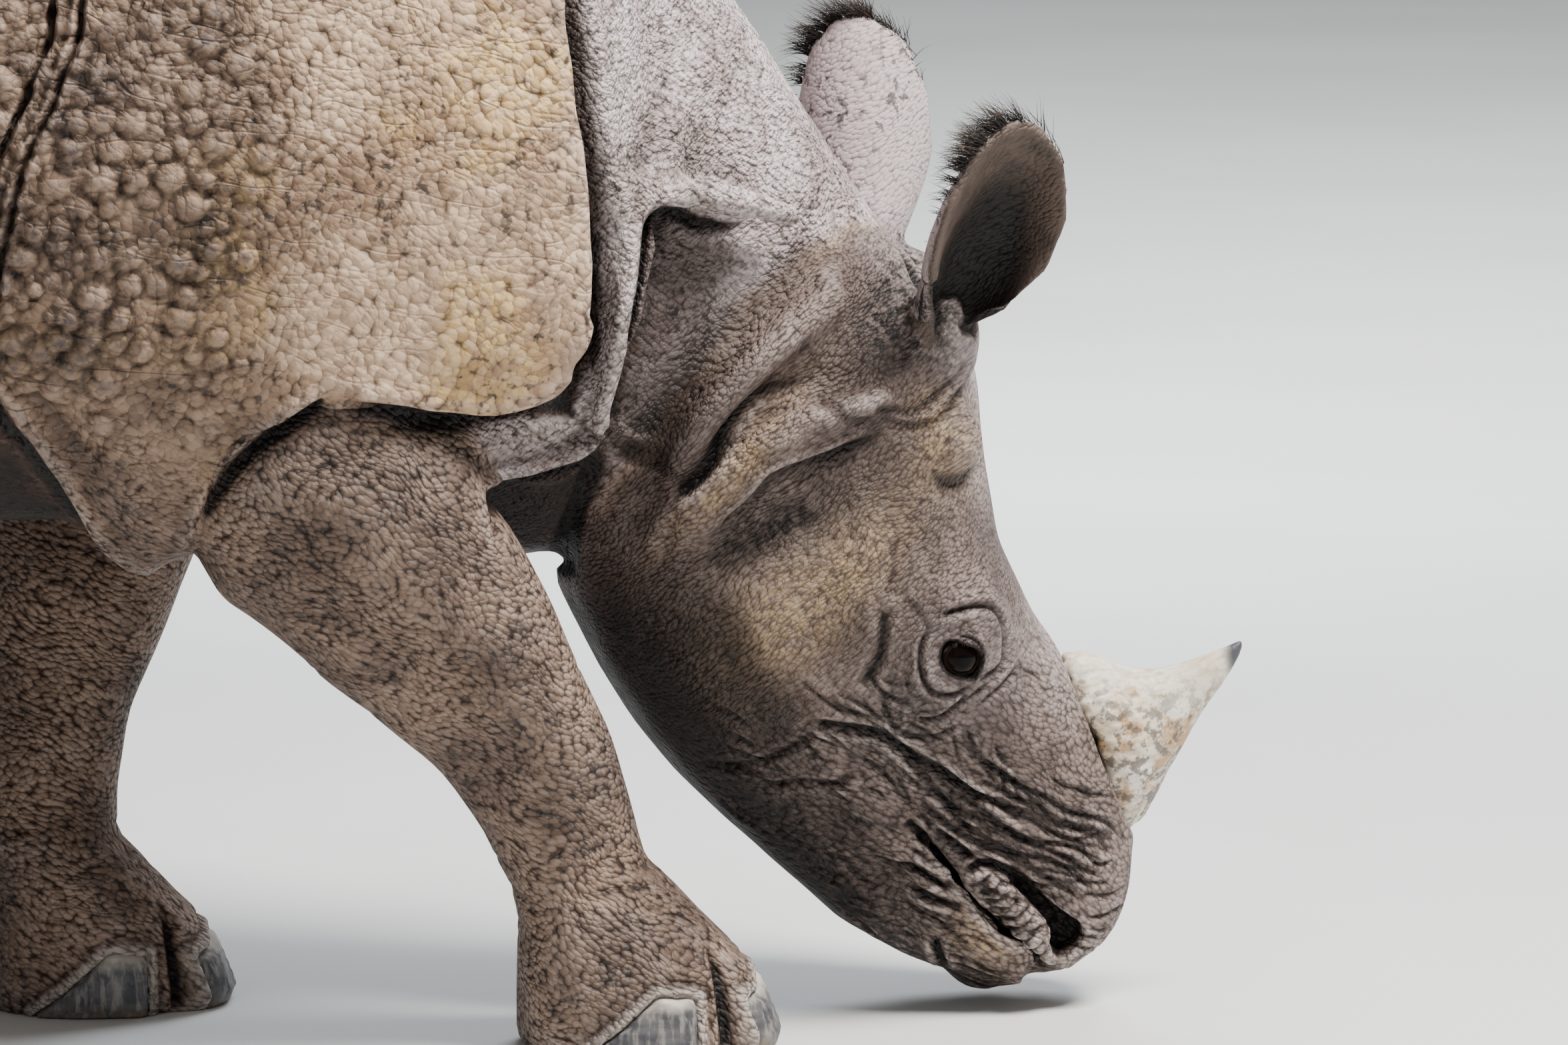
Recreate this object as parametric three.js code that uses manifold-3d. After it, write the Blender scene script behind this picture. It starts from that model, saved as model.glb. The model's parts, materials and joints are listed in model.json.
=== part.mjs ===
// Greater one-horned rhinoceros, grazing: a still, life-size adult, as a museum shows one.
// Millimetres, +X towards the head, +Y to the animal's left, +Z up, with the ground at z = 0.
// Every body part is a loft through a few ribs or rings; manifold-3d cuts the parts apart
// along the lines where the hide folds, with a hair's breadth between neighbours.

import * as THREE from 'three';
import { ParametricGeometry } from 'three/addons/geometries/ParametricGeometry.js';
import { mergeVertices } from 'three/addons/utils/BufferGeometryUtils.js';
import Module from 'manifold-3d';

const wasm = await Module();
wasm.setup();

// ---- Driving dimensions ---------------------------------------------------------------

const GAP = 0.3;                 // clearance between neighbouring pieces
const PLATE = 26;                // how far an armour plate stands out from the hide under it
const GIRDLE = 22;               // how far the girdle round the barrel stands out
const GROOVE = 13;               // half the width of a body fold, at the surface
const SHOULDER_HEIGHT = 1650;
const FRONT_TRACK = 300;         // between the middles of the two fore feet
const HIND_TRACK = 330;
const EYE_RADIUS = 22;
const EAR_LENGTH = 268;
const HEAD_PITCH = 15.3;         // how far the muzzle points forward of straight down, degrees
const HEAD_ROLL = 6;             // how far the crown leans to the animal's right, degrees
const POLL = new THREE.Vector3(135, 0, 788);
const NOSE_TO_POLL = 753;

// Where the feet stand along the body, measured to the middle of each foot.
const RIGHT_FORE_X = -162;
const LEFT_FORE_X = -704;
const RIGHT_HIND_X = -2130;
const LEFT_HIND_X = -1880;
const HIP_LINE = -2130;

const FORE_FOOT = { length: 270, width: 236, ankle: 185 };
const HIND_FOOT = { length: 244, width: 214, ankle: 172 };
const TOE_ANGLES = { middle: 0, left: 90, right: -90 };
const CLEFT_ANGLE = 58;          // between the middle toe and a side toe, degrees
const NAIL_STANDS = 5;           // how far a nail stands out from the toe round it

// The fold lines of the armour, from the back down to the belly.
const SHOULDER_FOLD_FRONT = -243;
const SHOULDER_FOLD_BACK = -790;
const LOIN_FOLD = -1690;

// ---- Solids ---------------------------------------------------------------------------

// A wave with fuller corners than a sine, for an oval between an ellipse and a rectangle.
const squircle = (wave, power) => Math.sign(wave) * Math.abs(wave) ** (2 / power);

// A closed geometry as a solid that can be cut and joined, whichever way it was wound.
function solidOf(geometry) {
  const bare = geometry.clone();
  bare.deleteAttribute('normal');
  bare.deleteAttribute('uv');
  const merged = mergeVertices(bare);
  const points = merged.attributes.position;
  const corners = [];
  let sixVolumes = 0;
  const [a, b, c] = [new THREE.Vector3(), new THREE.Vector3(), new THREE.Vector3()];
  for (let i = 0; i < merged.index.count; i += 3) {
    const [p, q, r] = [0, 1, 2].map((k) => merged.index.getX(i + k));
    if (p === q || q === r || r === p) continue;
    corners.push([p, q, r]);
    a.fromBufferAttribute(points, p);
    b.fromBufferAttribute(points, q);
    c.fromBufferAttribute(points, r);
    sixVolumes += a.dot(b.cross(c));
  }
  const outward = sixVolumes < 0 ? corners.map(([p, q, r]) => [p, r, q]) : corners;
  return new wasm.Manifold(new wasm.Mesh({
    numProp: 3,
    vertProperties: new Float32Array(points.array),
    triVerts: new Uint32Array(outward.flat()),
  }));
}

// Lofts a ring at each station. ring(at, turn, size, target, end) sets a point, where `at` is
// the station, size 0 is the middle of a ring, which closes each end, and end is -1 on the
// first ring, 1 on the last and 0 between.
function loft(stations, around, ring) {
  const stacks = stations.length + 1;
  return solidOf(new ParametricGeometry((u, v, target) => {
    const row = Math.round(v * stacks);
    const station = stations[Math.min(Math.max(row - 1, 0), stations.length - 1)];
    const size = row === 0 || row === stacks ? 0 : 1;
    const turn = (Math.round(u * around) % around) * ((2 * Math.PI) / around);
    const end = Number(row >= stacks - 1) - Number(row <= 1);
    ring(station, turn, size, target, end);
  }, around, stacks));
}

// A body part in ribs. Each rib is an upright oval between an upper and a lower point, with
// its greatest half width at the height `level`, from 0 at the lower point to 1 at the upper.
function ribs(stations, { grow, power }) {
  const heading = Math.sign(stations.at(-1).lowerX - stations[0].lowerX);
  return loft(stations, 16, (at, turn, size, target, end) => {
    const upper = new THREE.Vector2(at.upperX, at.upperZ);
    const lower = new THREE.Vector2(at.lowerX, at.lowerZ);
    const rise = upper.clone().sub(lower);
    const height = rise.length();
    rise.normalize();
    const level = at.level * height;
    const wave = squircle(Math.cos(turn), power);
    const reach = wave > 0 ? height - level : level;
    const along = level + size * wave * (reach + grow);
    const y = size * squircle(Math.sin(turn), power) * (at.half + grow);
    target.set(lower.x + rise.x * along, y, lower.y + rise.y * along);
    target.x += rise.y * end * heading * grow;
    target.z -= rise.x * end * heading * grow;
  });
}

// A leg in level rings, each an oval `fore` long and `side` wide, round the leg's centre line.
function limb(stations, around, grow) {
  return loft(stations, around, (at, turn, size, target, end) => {
    const x = at.x + size * squircle(Math.cos(turn), 2.2) * (at.fore + grow);
    const y = at.y + size * squircle(Math.sin(turn), 2.2) * (at.side + grow);
    target.set(x, y, at.z - end * grow);
  });
}

// An outline in side view, drawn as a smooth closed line, extruded across the body from
// y = from to y = to. Growing it moves the whole outline outwards.
function sideways(points, from, to, grow = 0) {
  const outline = new THREE.Shape();
  outline.moveTo(points[0][0], points[0][1]);
  outline.splineThru([...points.slice(1), points[0]].map(([x, z]) => new THREE.Vector2(x, z)));
  const slab = new THREE.ExtrudeGeometry(outline, {
    depth: to - from,
    curveSegments: 2,
    bevelEnabled: grow > 0,
    bevelThickness: grow,
    bevelSize: grow,
    bevelSegments: 1,
  });
  slab.rotateX(Math.PI / 2);
  slab.translate(0, to, 0);
  return solidOf(slab);
}

function block(x0, x1, y0, y1, z0, z1) {
  const box = new THREE.BoxGeometry(x1 - x0, y1 - y0, z1 - z0);
  box.translate((x0 + x1) / 2, (y0 + y1) / 2, (z0 + z1) / 2);
  return solidOf(box);
}

function ball(centre, radii, detail = 8) {
  const sphere = new THREE.SphereGeometry(1, detail, Math.round(detail * 0.6));
  sphere.scale(...radii);
  sphere.translate(centre.x, centre.y, centre.z);
  return solidOf(sphere);
}

// A round-ended roll of hide along a curve, for a fold that hangs or stands out.
function roll(points, radius, grow = 0) {
  const path = new THREE.CatmullRomCurve3(points.map((p) => new THREE.Vector3(...p)));
  const sides = 5;
  const steps = points.length + 1;
  const frames = path.computeFrenetFrames(steps, false);
  return solidOf(new ParametricGeometry((u, v, target) => {
    const step = Math.round(v * steps);
    const turn = (Math.round(u * sides) % sides) * ((2 * Math.PI) / sides);
    const end = Math.sin(Math.PI * (step / steps));
    const thick = step === 0 || step === steps ? 0 : (radius + grow) * end ** 0.4;
    path.getPointAt(step / steps, target);
    target.addScaledVector(frames.normals[step], thick * Math.cos(turn));
    target.addScaledVector(frames.binormals[step], thick * Math.sin(turn));
  }, sides, steps));
}

const largest = (solid) => solid.decompose().reduce((a, b) => (a.volume() > b.volume() ? a : b));
const joined = (first, ...others) => others.reduce((sum, other) => sum.add(other), first);
const without = (first, ...others) => others.reduce((rest, other) => rest.subtract(other), first);
const mirrored = (points) => points.map(([x, y, z]) => [x, -y, z]);

// ---- The scene graph ------------------------------------------------------------------

const finish = (color, roughness) => (
  new THREE.MeshStandardMaterial({ color, roughness, metalness: 0 }));
const HIDE = finish(0x8b8078, 0.75);
const DARK_HIDE = finish(0x6f655f, 0.8);
const NAIL = finish(0x3c4048, 0.45);
const HORN = finish(0xb9a888, 0.5);
const EYE = finish(0x120c09, 0.08);

const rhinoceros = new THREE.Group();

function place(name, solid, material) {
  const { vertProperties, triVerts, numProp } = largest(solid).getMesh();
  const geometry = new THREE.BufferGeometry();
  const positions = new Float32Array((vertProperties.length / numProp) * 3);
  for (let i = 0; i < positions.length / 3; i++) {
    positions.set(vertProperties.subarray(i * numProp, i * numProp + 3), i * 3);
  }
  geometry.setAttribute('position', new THREE.BufferAttribute(positions, 3));
  geometry.setIndex(new THREE.BufferAttribute(triVerts, 1));
  geometry.computeVertexNormals();
  const mesh = new THREE.Mesh(geometry, material);
  mesh.name = name;
  rhinoceros.add(mesh);
}

// ---- Trunk ----------------------------------------------------------------------------

// Upright ribs from the chest to the buttocks.
const trunkRib = (x, top, bottom, half, level = 0.5) => ({
  upperX: x, upperZ: top, lowerX: x, lowerZ: bottom, half, level,
});
const TRUNK = [
  trunkRib(-130, 1100, 660, 150),
  trunkRib(-190, 1270, 590, 270),
  trunkRib(-250, 1400, 550, 340, 0.46),
  trunkRib(-340, 1530, 520, 382, 0.42),
  trunkRib(-560, SHOULDER_HEIGHT - PLATE, 510, 402, 0.4),
  trunkRib(-840, 1578, 522, 428, 0.42),
  trunkRib(-1150, 1556, 510, 488, 0.44),
  trunkRib(-1450, 1572, 520, 498, 0.44),
  trunkRib(-1720, 1606, 575, 458, 0.46),
  trunkRib(-1980, 1598, 640, 418, 0.48),
  trunkRib(-2180, 1520, 690, 372, 0.5),
  trunkRib(-2300, 1395, 760, 300, 0.5),
  trunkRib(-2375, 1230, 850, 190, 0.5),
];
const trunk = (grow) => ribs(TRUNK, { grow, power: 2.25 });

// ---- Legs -----------------------------------------------------------------------------

const ring = (z, x, y, fore, side) => ({ z, x, y, fore, side });

// The right fore leg steps forward, from the elbow down to the foot.
function rightForeLeg(grow = 0) {
  const foot = -FRONT_TRACK / 2;
  return limb([
    ring(980, -540, foot - 60, 120, 70),
    ring(800, -528, foot - 88, 160, 104),
    ring(690, -506, foot - 102, 150, 120),
    ring(600, -484, foot - 106, 156, 120),
    ring(500, -439, foot - 90, 160, 108),
    ring(400, -366, foot - 60, 132, 92),
    ring(300, -284, foot - 28, 94, 78),
    ring(225, -249, foot - 10, 77, 74),
    ring(150, -226, foot, 75, 76),
  ], 12, grow);
}

// The left fore leg stands further back and nearly upright.
function leftForeLeg(grow = 0) {
  const foot = FRONT_TRACK / 2;
  return limb([
    ring(980, -600, foot + 60, 120, 70),
    ring(800, -640, foot + 88, 160, 104),
    ring(690, -676, foot + 102, 150, 120),
    ring(600, -706, foot + 106, 150, 120),
    ring(500, -720, foot + 90, 134, 108),
    ring(400, -734, foot + 60, 108, 92),
    ring(300, -758, foot + 28, 84, 78),
    ring(225, -764, foot + 10, 76, 74),
    ring(150, -764, foot, 76, 76),
  ], 12, grow);
}

// Hind leg: the thigh under the rump plate, the hock pointing back, a short upright cannon.
// stride is how far the foot stands ahead of the hip's own line.
function hindLeg(side, footX, grow = 0) {
  const foot = (side * HIND_TRACK) / 2;
  const stride = footX - HIP_LINE;
  return limb([
    ring(1180, -2020 + stride * 0.1, foot + side * 40, 190, 90),
    ring(1000, -2030 + stride * 0.15, foot + side * 88, 256, 128),
    ring(820, -2036 + stride * 0.22, foot + side * 98, 262, 134),
    ring(680, -2056 + stride * 0.32, foot + side * 80, 232, 118),
    ring(560, -2080 + stride * 0.46, foot + side * 56, 178, 100),
    ring(450, -2116 + stride * 0.62, foot + side * 34, 134, 84),
    ring(350, -2142 + stride * 0.8, foot + side * 20, 97, 73),
    ring(250, -2172 + stride * 0.93, foot + side * 8, 78, 67),
    ring(140, HIP_LINE - 60 + stride, foot, 74, 70),
  ], 12, grow);
}
const rightHindLeg = (grow = 0) => hindLeg(-1, RIGHT_HIND_X, grow);
const leftHindLeg = (grow = 0) => hindLeg(1, LEFT_HIND_X, grow);

// ---- Armour plates --------------------------------------------------------------------

// Shoulder plate: a straight front edge, a rounded lower front corner, a lower edge that
// rises over the leg and runs down behind it to the elbow, and the fold behind the shoulder.
const shoulderOutline = (elbow) => [
  [SHOULDER_FOLD_FRONT - 30, 1760],
  [SHOULDER_FOLD_FRONT - 22, 1120],
  [SHOULDER_FOLD_FRONT + 5, 900],
  [SHOULDER_FOLD_FRONT - 6, 752],
  [-298, 694],
  [-380, 684],
  [(elbow - 420) / 2, 702],
  [(elbow * 4 - 520) / 5, 650],
  [elbow + 6, 552],
  [elbow - 80, 566],
  [SHOULDER_FOLD_BACK + 60 + (elbow + 640) * 0.5, 660],
  [SHOULDER_FOLD_BACK - 38, 760],
  [SHOULDER_FOLD_BACK - 26, 930],
  [SHOULDER_FOLD_BACK + 34, 1110],
  [SHOULDER_FOLD_BACK + 60, 1400],
  [SHOULDER_FOLD_BACK + 50, 1760],
];
function shoulderSlab(grow) {
  const right = sideways(shoulderOutline(-640), -800, 0.5, grow);
  const left = sideways(shoulderOutline(-790), -0.5, 800, grow);
  return right.add(left);
}
const foreQuarters = (grow) => joined(trunk(grow), rightForeLeg(grow), leftForeLeg(grow));
const shoulderPlate = (gap) => foreQuarters(PLATE + gap).intersect(shoulderSlab(gap));

// Rump plate: the loin fold in front, the heavy lower edge above the knee, and the buttock.
const RUMP_OUTLINE = [
  [LOIN_FOLD + 10, 1760],
  [LOIN_FOLD, 1400],
  [LOIN_FOLD + 18, 1050],
  [LOIN_FOLD + 30, 820],
  [LOIN_FOLD - 10, 728],
  [LOIN_FOLD - 150, 690],
  [LOIN_FOLD - 340, 676],
  [LOIN_FOLD - 520, 712],
  [LOIN_FOLD - 640, 800],
  [LOIN_FOLD - 760, 960],
  [LOIN_FOLD - 800, 1300],
  [LOIN_FOLD - 780, 1760],
];
const hindQuarters = (grow) => joined(trunk(grow), rightHindLeg(grow), leftHindLeg(grow));
const rumpSlab = (grow) => sideways(RUMP_OUTLINE, -800, 800, grow);
const tailChannel = (gap) => (
  ball(new THREE.Vector3(-2440, 0, 1080), [70 - gap, 62 - gap, 330 - gap], 12));
const rumpPlate = (gap) => (
  hindQuarters(PLATE + gap).intersect(rumpSlab(gap)).subtract(tailChannel(gap)));

// The girdle round the barrel, a little lower than the plates, and the hide inside the folds.
const lengthOf = (front, back) => block(back, front, -900, 900, -100, 2000);
const CHEST_BACK = SHOULDER_FOLD_BACK - 60;
const CHEST_FRONT = -345;
const GROIN_FRONT = LOIN_FOLD + 5;
const ELBOW_HEIGHT = 640;
const ELBOW_BACK = SHOULDER_FOLD_BACK + 200;
const barrelRoom = (gap) => lengthOf(CHEST_BACK + gap, GROIN_FRONT - gap)
  .add(block(CHEST_BACK, ELBOW_BACK + gap, -900, 900, ELBOW_HEIGHT - gap, 2000));
const girdle = (gap) => trunk(GIRDLE + gap)
  .subtract(shoulderSlab(2 * GROOVE - gap))
  .subtract(rumpSlab(2 * GROOVE - gap))
  .intersect(barrelRoom(gap));
const foldHide = without(trunk(0), shoulderSlab(GAP), rumpSlab(GAP));
const barrel = foldHide.intersect(barrelRoom(0)).add(girdle(0));
const groin = foldHide.intersect(lengthOf(GROIN_FRONT - GAP, -3000));

// ---- Neck -----------------------------------------------------------------------------

const neckRib = (upperX, upperZ, lowerX, lowerZ, half, level = 0.46) => ({
  upperX, upperZ, lowerX, lowerZ, half, level,
});
const NECK = [
  neckRib(-520, 1590, -520, 640, 300),
  neckRib(-330, 1422, -400, 505, 300),
  neckRib(-170, 1232, -320, 484, 262),
  neckRib(-50, 1058, -262, 480, 220),
  neckRib(40, 922, -236, 520, 186),
  neckRib(110, 812, -190, 600, 150),
];
const neckBody = (grow) => ribs(NECK, { grow, power: 2.15 });

// The collar flap hangs in front of the shoulder plate and joins the fold over the neck.
const COLLAR = [
  [-120, -170, 1010], [-158, -232, 900], [-176, -262, 800], [-198, -262, 700], [-226, -236, 630],
];
const COLLAR_BRANCH = [[-150, -236, 880], [-100, -232, 884], [-40, -202, 862], [10, -165, 842]];
const BIB = [[-330, -210, 600], [-270, -205, 592], [-215, -185, 625], [-170, -165, 690]];
const collarFolds = (grow) => [
  roll(COLLAR, 30, grow),
  roll(mirrored(COLLAR), 30, grow),
  roll(COLLAR_BRANCH, 22, grow),
  roll(mirrored(COLLAR_BRANCH), 22, grow),
  roll(BIB, 30, grow),
  roll(mirrored(BIB), 30, grow),
];

// ---- Head -----------------------------------------------------------------------------

// The head is modelled level, muzzle along +x from the poll, then pitched down and leaned.
const headFrame = new THREE.Matrix4().makeTranslation(POLL.x, POLL.y, POLL.z);
const leanPivot = NOSE_TO_POLL * 0.5;
headFrame.multiply(new THREE.Matrix4().makeTranslation(0, 0, -leanPivot));
headFrame.multiply(new THREE.Matrix4().makeRotationX(THREE.MathUtils.degToRad(HEAD_ROLL)));
headFrame.multiply(new THREE.Matrix4().makeTranslation(0, 0, leanPivot));
headFrame.multiply(new THREE.Matrix4().makeRotationY(THREE.MathUtils.degToRad(90 - HEAD_PITCH)));
const onHead = (x, y, z) => new THREE.Vector3(x, y, z).applyMatrix4(headFrame);
const posed = (solid) => solid.transform(headFrame.elements);

const headRib = (x, top, bottom, half, level) => ({
  upperX: x, upperZ: top, lowerX: x, lowerZ: bottom, half, level,
});
const HEAD = [
  headRib(-75, -60, -300, 90, 0.5),
  headRib(-40, -20, -385, 140, 0.55),
  headRib(30, 12, -430, 164, 0.6),
  headRib(120, 30, -446, 174, 0.62),
  headRib(215, 14, -448, 182, 0.64),
  headRib(300, 7, -434, 188, 0.66),
  headRib(389, 22, -408, 182, 0.68),
  headRib(450, 44, -380, 158, 0.66),
  headRib(520, 58, -340, 132, 0.62),
  headRib(590, 70, -296, 116, 0.58),
  headRib(650, 68, -258, 110, 0.52),
  headRib(703, 50, -204, 104, 0.48),
  headRib(740, 24, -150, 92, 0.5),
  headRib(760, -20, -120, 70, 0.5),
  headRib(770, -62, -104, 36, 0.5),
];
const skull = (grow) => ribs(HEAD, { grow, power: 2.35 });

// The mouth: a slit that runs up and back from the front of the muzzle to its corner, and
// the line from that corner to the throat side where the lower jaw is parted from the cheek.
const MOUTH = [
  [790, -92], [770, -52], [738, -66], [705, -72], [656, -103], [623, -124], [579, -141],
  [541, -158], [548, -166], [581, -152], [626, -136], [660, -116], [708, -86], [736, -84],
];
const slit = sideways(MOUTH, -200, 200);
const LOWER_JAW = [
  [800, -96], [740, -76], [660, -110], [600, -147], [548, -163], [522, -240], [500, -330],
  [500, -440], [680, -440], [800, -300],
];
const lowerJawRoom = (grow) => sideways(LOWER_JAW, -220, 220, grow);

// Swellings of the face: the ear bases, the knobs under them, the brows, and the chin.
const pair = (x, y, z, radii, grow) => [y, -y].map((side) => (
  ball(new THREE.Vector3(x, side, z), radii.map((radius) => radius + grow))));
const faceSwellings = (grow) => [
  ...pair(56, 98, -18, [64, 50, 58], grow),
  ...pair(152, 112, -30, [50, 46, 44], grow),
  ...pair(340, 128, -52, [66, 46, 44], grow),
];
const chinPad = (grow) => (
  ball(new THREE.Vector3(716, 0, -122), [58 + grow, 72 + grow, 46 + grow], 10));
const EYE_PLACE = [367, 160, -73];
const eyeAt = (side) => new THREE.Vector3(EYE_PLACE[0], side * EYE_PLACE[1], EYE_PLACE[2]);
const eyeBall = (side, grow) => ball(eyeAt(side), Array(3).fill(EYE_RADIUS + grow));
const eyeOpening = (side) => ball(
  new THREE.Vector3(EYE_PLACE[0], side * (EYE_PLACE[1] + 24), EYE_PLACE[2]), [25, 22, 19]);

// Two heavy folds run from under the ear down across the jaw.
const CHEEK_FOLDS = [
  [[-30, -120, -60], [-6, -150, -130], [34, -168, -215], [92, -166, -290], [140, -150, -340]],
  [[70, -150, -50], [88, -170, -120], [104, -178, -200], [140, -172, -280], [190, -160, -340]],
];
const cheekFolds = (grow) => CHEEK_FOLDS.flatMap((fold) => [
  roll(fold, 27, grow),
  roll(mirrored(fold), 27, grow),
]);

// Nostrils: long pits above the lip.
const NOSTRIL = [[618, -104, -84], [660, -100, -58], [700, -94, -34], [734, -78, -34]];
const nostrils = [roll(NOSTRIL, 19), roll(mirrored(NOSTRIL), 19)];

// The horn stands on the nose: broad at the base, hollow above, its tip turned up and back.
const hornRing = (z, back, front, half) => ({ z, back, front, half });
const HORN_RINGS = [
  hornRing(40, 440, 650, 52),
  hornRing(68, 448, 646, 56),
  hornRing(86, 462, 630, 50),
  hornRing(106, 479, 607, 40),
  hornRing(134, 488, 572, 29),
  hornRing(160, 489, 552, 22),
  hornRing(188, 487, 532, 16),
  hornRing(212, 484, 511, 10),
  hornRing(230, 480, 492, 5),
];
const horn = (grow) => loft(HORN_RINGS, 12, (at, turn, size, target, end) => {
  const middle = (at.back + at.front) / 2;
  const long = (at.front - at.back) / 2 + grow;
  target.set(middle + size * long * Math.cos(turn),
    size * (at.half + grow) * Math.sin(turn), at.z + end * grow);
});

// ---- Ears -----------------------------------------------------------------------------

// A scoop: a thick arc of hide at each ring, nearly a tube at the base, open above.
const earRing = (reach, radius, spread, wall) => ({ reach, radius, spread, wall });
const EAR_RINGS = [
  earRing(-0.06, 30, 158, 14),
  earRing(0.12, 34, 148, 13),
  earRing(0.28, 52, 118, 11),
  earRing(0.48, 69, 92, 9),
  earRing(0.7, 74, 78, 8),
  earRing(0.9, 61, 64, 7),
  earRing(1, 30, 42, 5),
];
function ear(base, direction, opening) {
  const axis = direction.clone().normalize();
  const across = new THREE.Vector3().crossVectors(axis, opening).normalize();
  const front = new THREE.Vector3().crossVectors(across, axis).normalize();
  return loft(EAR_RINGS, 14, (at, turn, size, target) => {
    const outer = turn < Math.PI;
    const sweep = outer ? turn / Math.PI : 2 - turn / Math.PI;
    const spread = THREE.MathUtils.degToRad(at.spread) * (2 * sweep - 1);
    const radius = at.radius - (outer ? 0 : at.wall);
    const lift = at.radius - 30;
    const middle = at.radius - at.wall / 2;
    const sideStep = size ? radius * Math.sin(spread) : 0;
    const backStep = size ? radius * Math.cos(spread) : middle;
    target.copy(base).addScaledVector(axis, at.reach * EAR_LENGTH);
    target.addScaledVector(across, sideStep);
    target.addScaledVector(front, lift - backStep);
  });
}
const rightEarBase = onHead(50, -112, -10);
const leftEarBase = onHead(18, 108, -44);
const rightEar = ear(rightEarBase, new THREE.Vector3(78, -140, 222), new THREE.Vector3(0.3, -0.95, 0));
const leftEar = ear(leftEarBase, new THREE.Vector3(-6, 74, 250), new THREE.Vector3(0.25, 0.97, 0));

// ---- Feet -----------------------------------------------------------------------------

// Each foot has a flat sole, a round heel pad and three toes, parted by clefts.
const footRing = (z, front, back, half, cleft) => ({ z, front, back, half, cleft });
const footRings = (size) => [
  footRing(0, 0.47, -0.46, 0.46, 0.6),
  footRing(14, 0.5, -0.49, 0.5, 1),
  footRing(88, 0.39, -0.49, 0.475, 0.9),
  footRing(size.ankle * 0.75, 0.2, -0.48, 0.42, 0.5),
  footRing(size.ankle, 0.04, -0.53, 0.345, 0),
];
function foot(size, x, y, grow = 0) {
  return loft(footRings(size), 18, (at, turn, scale, target) => {
    const angle = turn > Math.PI ? turn - 2 * Math.PI : turn;
    const offCleft = (Math.abs(THREE.MathUtils.radToDeg(angle)) - CLEFT_ANGLE) / 8;
    const pinch = 1 - 0.12 * at.cleft * Math.exp(-offCleft * offCleft);
    const middle = ((at.front + at.back) / 2) * size.length;
    const long = ((at.front - at.back) / 2) * size.length + grow;
    const wide = at.half * size.width + grow;
    target.set(x + middle + scale * pinch * long * squircle(Math.cos(turn), 2.3),
      y + scale * pinch * wide * squircle(Math.sin(turn), 2.3), at.z);
  });
}

// The room that a nail takes: a rounded outline on the face of the toe, driven back into it
// and tilted so that the nail's top lies further forward than its foot.
function nailRoom(size, x, y, angle, grow = 0) {
  const middle = angle === 0;
  const side = Math.sign(angle);
  const half = (middle ? 0.3 : 0.24) * size.width;
  const high = 92;
  const outline = new THREE.Shape();
  outline.moveTo(-half, -60);
  outline.lineTo(half, -60);
  outline.lineTo(half, side > 0 ? 8 : high * 0.7);
  outline.quadraticCurveTo(side * -0.7 * half, high * 1.2, -half, side < 0 ? 8 : high * 0.7);
  outline.closePath();
  const prism = new THREE.ExtrudeGeometry(outline, {
    depth: 120, curveSegments: 2, bevelEnabled: grow > 0,
    bevelThickness: grow, bevelSize: grow, bevelSegments: 1,
  });
  prism.rotateX(Math.PI / 2);
  prism.rotateZ(Math.PI / 2);
  prism.rotateY(THREE.MathUtils.degToRad(middle ? 22 : 14));
  prism.translate(middle ? size.length * 0.21 : size.width * 0.33, 0, 0);
  prism.rotateZ(THREE.MathUtils.degToRad(angle));
  prism.translate(x - (middle ? 0 : 0.06 * size.length), y, 0);
  return solidOf(prism);
}

// ---- Tail -----------------------------------------------------------------------------

const TAIL = [
  ring(1370, -2335, 0, 46, 50),
  ring(1290, -2398, 0, 44, 46),
  ring(1160, -2436, 0, 34, 36),
  ring(1000, -2440, 0, 27, 27),
  ring(850, -2420, 0, 22, 20),
  ring(770, -2408, 0, 20, 17),
];
const tail = limb(TAIL, 8, 0);
const tuft = limb([
  ring(770 - GAP, -2408, 0, 19, 16),
  ring(730, -2404, 0, 24, 19),
  ring(670, -2402, 0, 20, 15),
  ring(610, -2402, 0, 8, 7),
], 8, 0);

// ---- Placing every piece --------------------------------------------------------------

// Head and jaw.
const headShape = (grow) => (
  joined(skull(grow), chinPad(grow), ...faceSwellings(grow), ...cheekFolds(grow)));
const wholeHead = without(headShape(0), ...nostrils, slit);
const eyeRooms = [1, -1].flatMap((side) => [eyeBall(side, GAP), eyeOpening(side)]);
const head = without(wholeHead, lowerJawRoom(GAP), ...eyeRooms, horn(GAP));
const headRoom = posed(headShape(GAP));
place('head', posed(head), HIDE);
place('lower_jaw', posed(wholeHead.intersect(lowerJawRoom(0))), HIDE);
place('horn', posed(horn(0)), HORN);
place('right_eye', posed(eyeBall(-1, 0)), EYE);
place('left_eye', posed(eyeBall(1, 0)), EYE);

// Neck and chest: the chest is the hide between the fore legs and under the plate.
const neckRoom = joined(neckBody(GAP), ...collarFolds(GAP));
place('right_ear', without(rightEar, headRoom, neckRoom), HIDE);
place('left_ear', without(leftEar, headRoom, neckRoom), HIDE);
const throat = trunk(0).add(neckBody(0)).subtract(shoulderSlab(GAP));
const neckParts = joined(throat, ...collarFolds(0).map((fold) => fold.subtract(shoulderSlab(GAP))));
place('neck', without(neckParts.intersect(lengthOf(500, CHEST_FRONT + GAP)), headRoom), HIDE);
const chestRoom = block(CHEST_BACK + GAP, CHEST_FRONT, -900, 900, 0, ELBOW_HEIGHT - GAP)
  .add(block(ELBOW_BACK + GAP, CHEST_FRONT, -900, 900, ELBOW_HEIGHT - 2 * GAP, 800));
place('chest', throat.intersect(chestRoom), DARK_HIDE);

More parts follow.
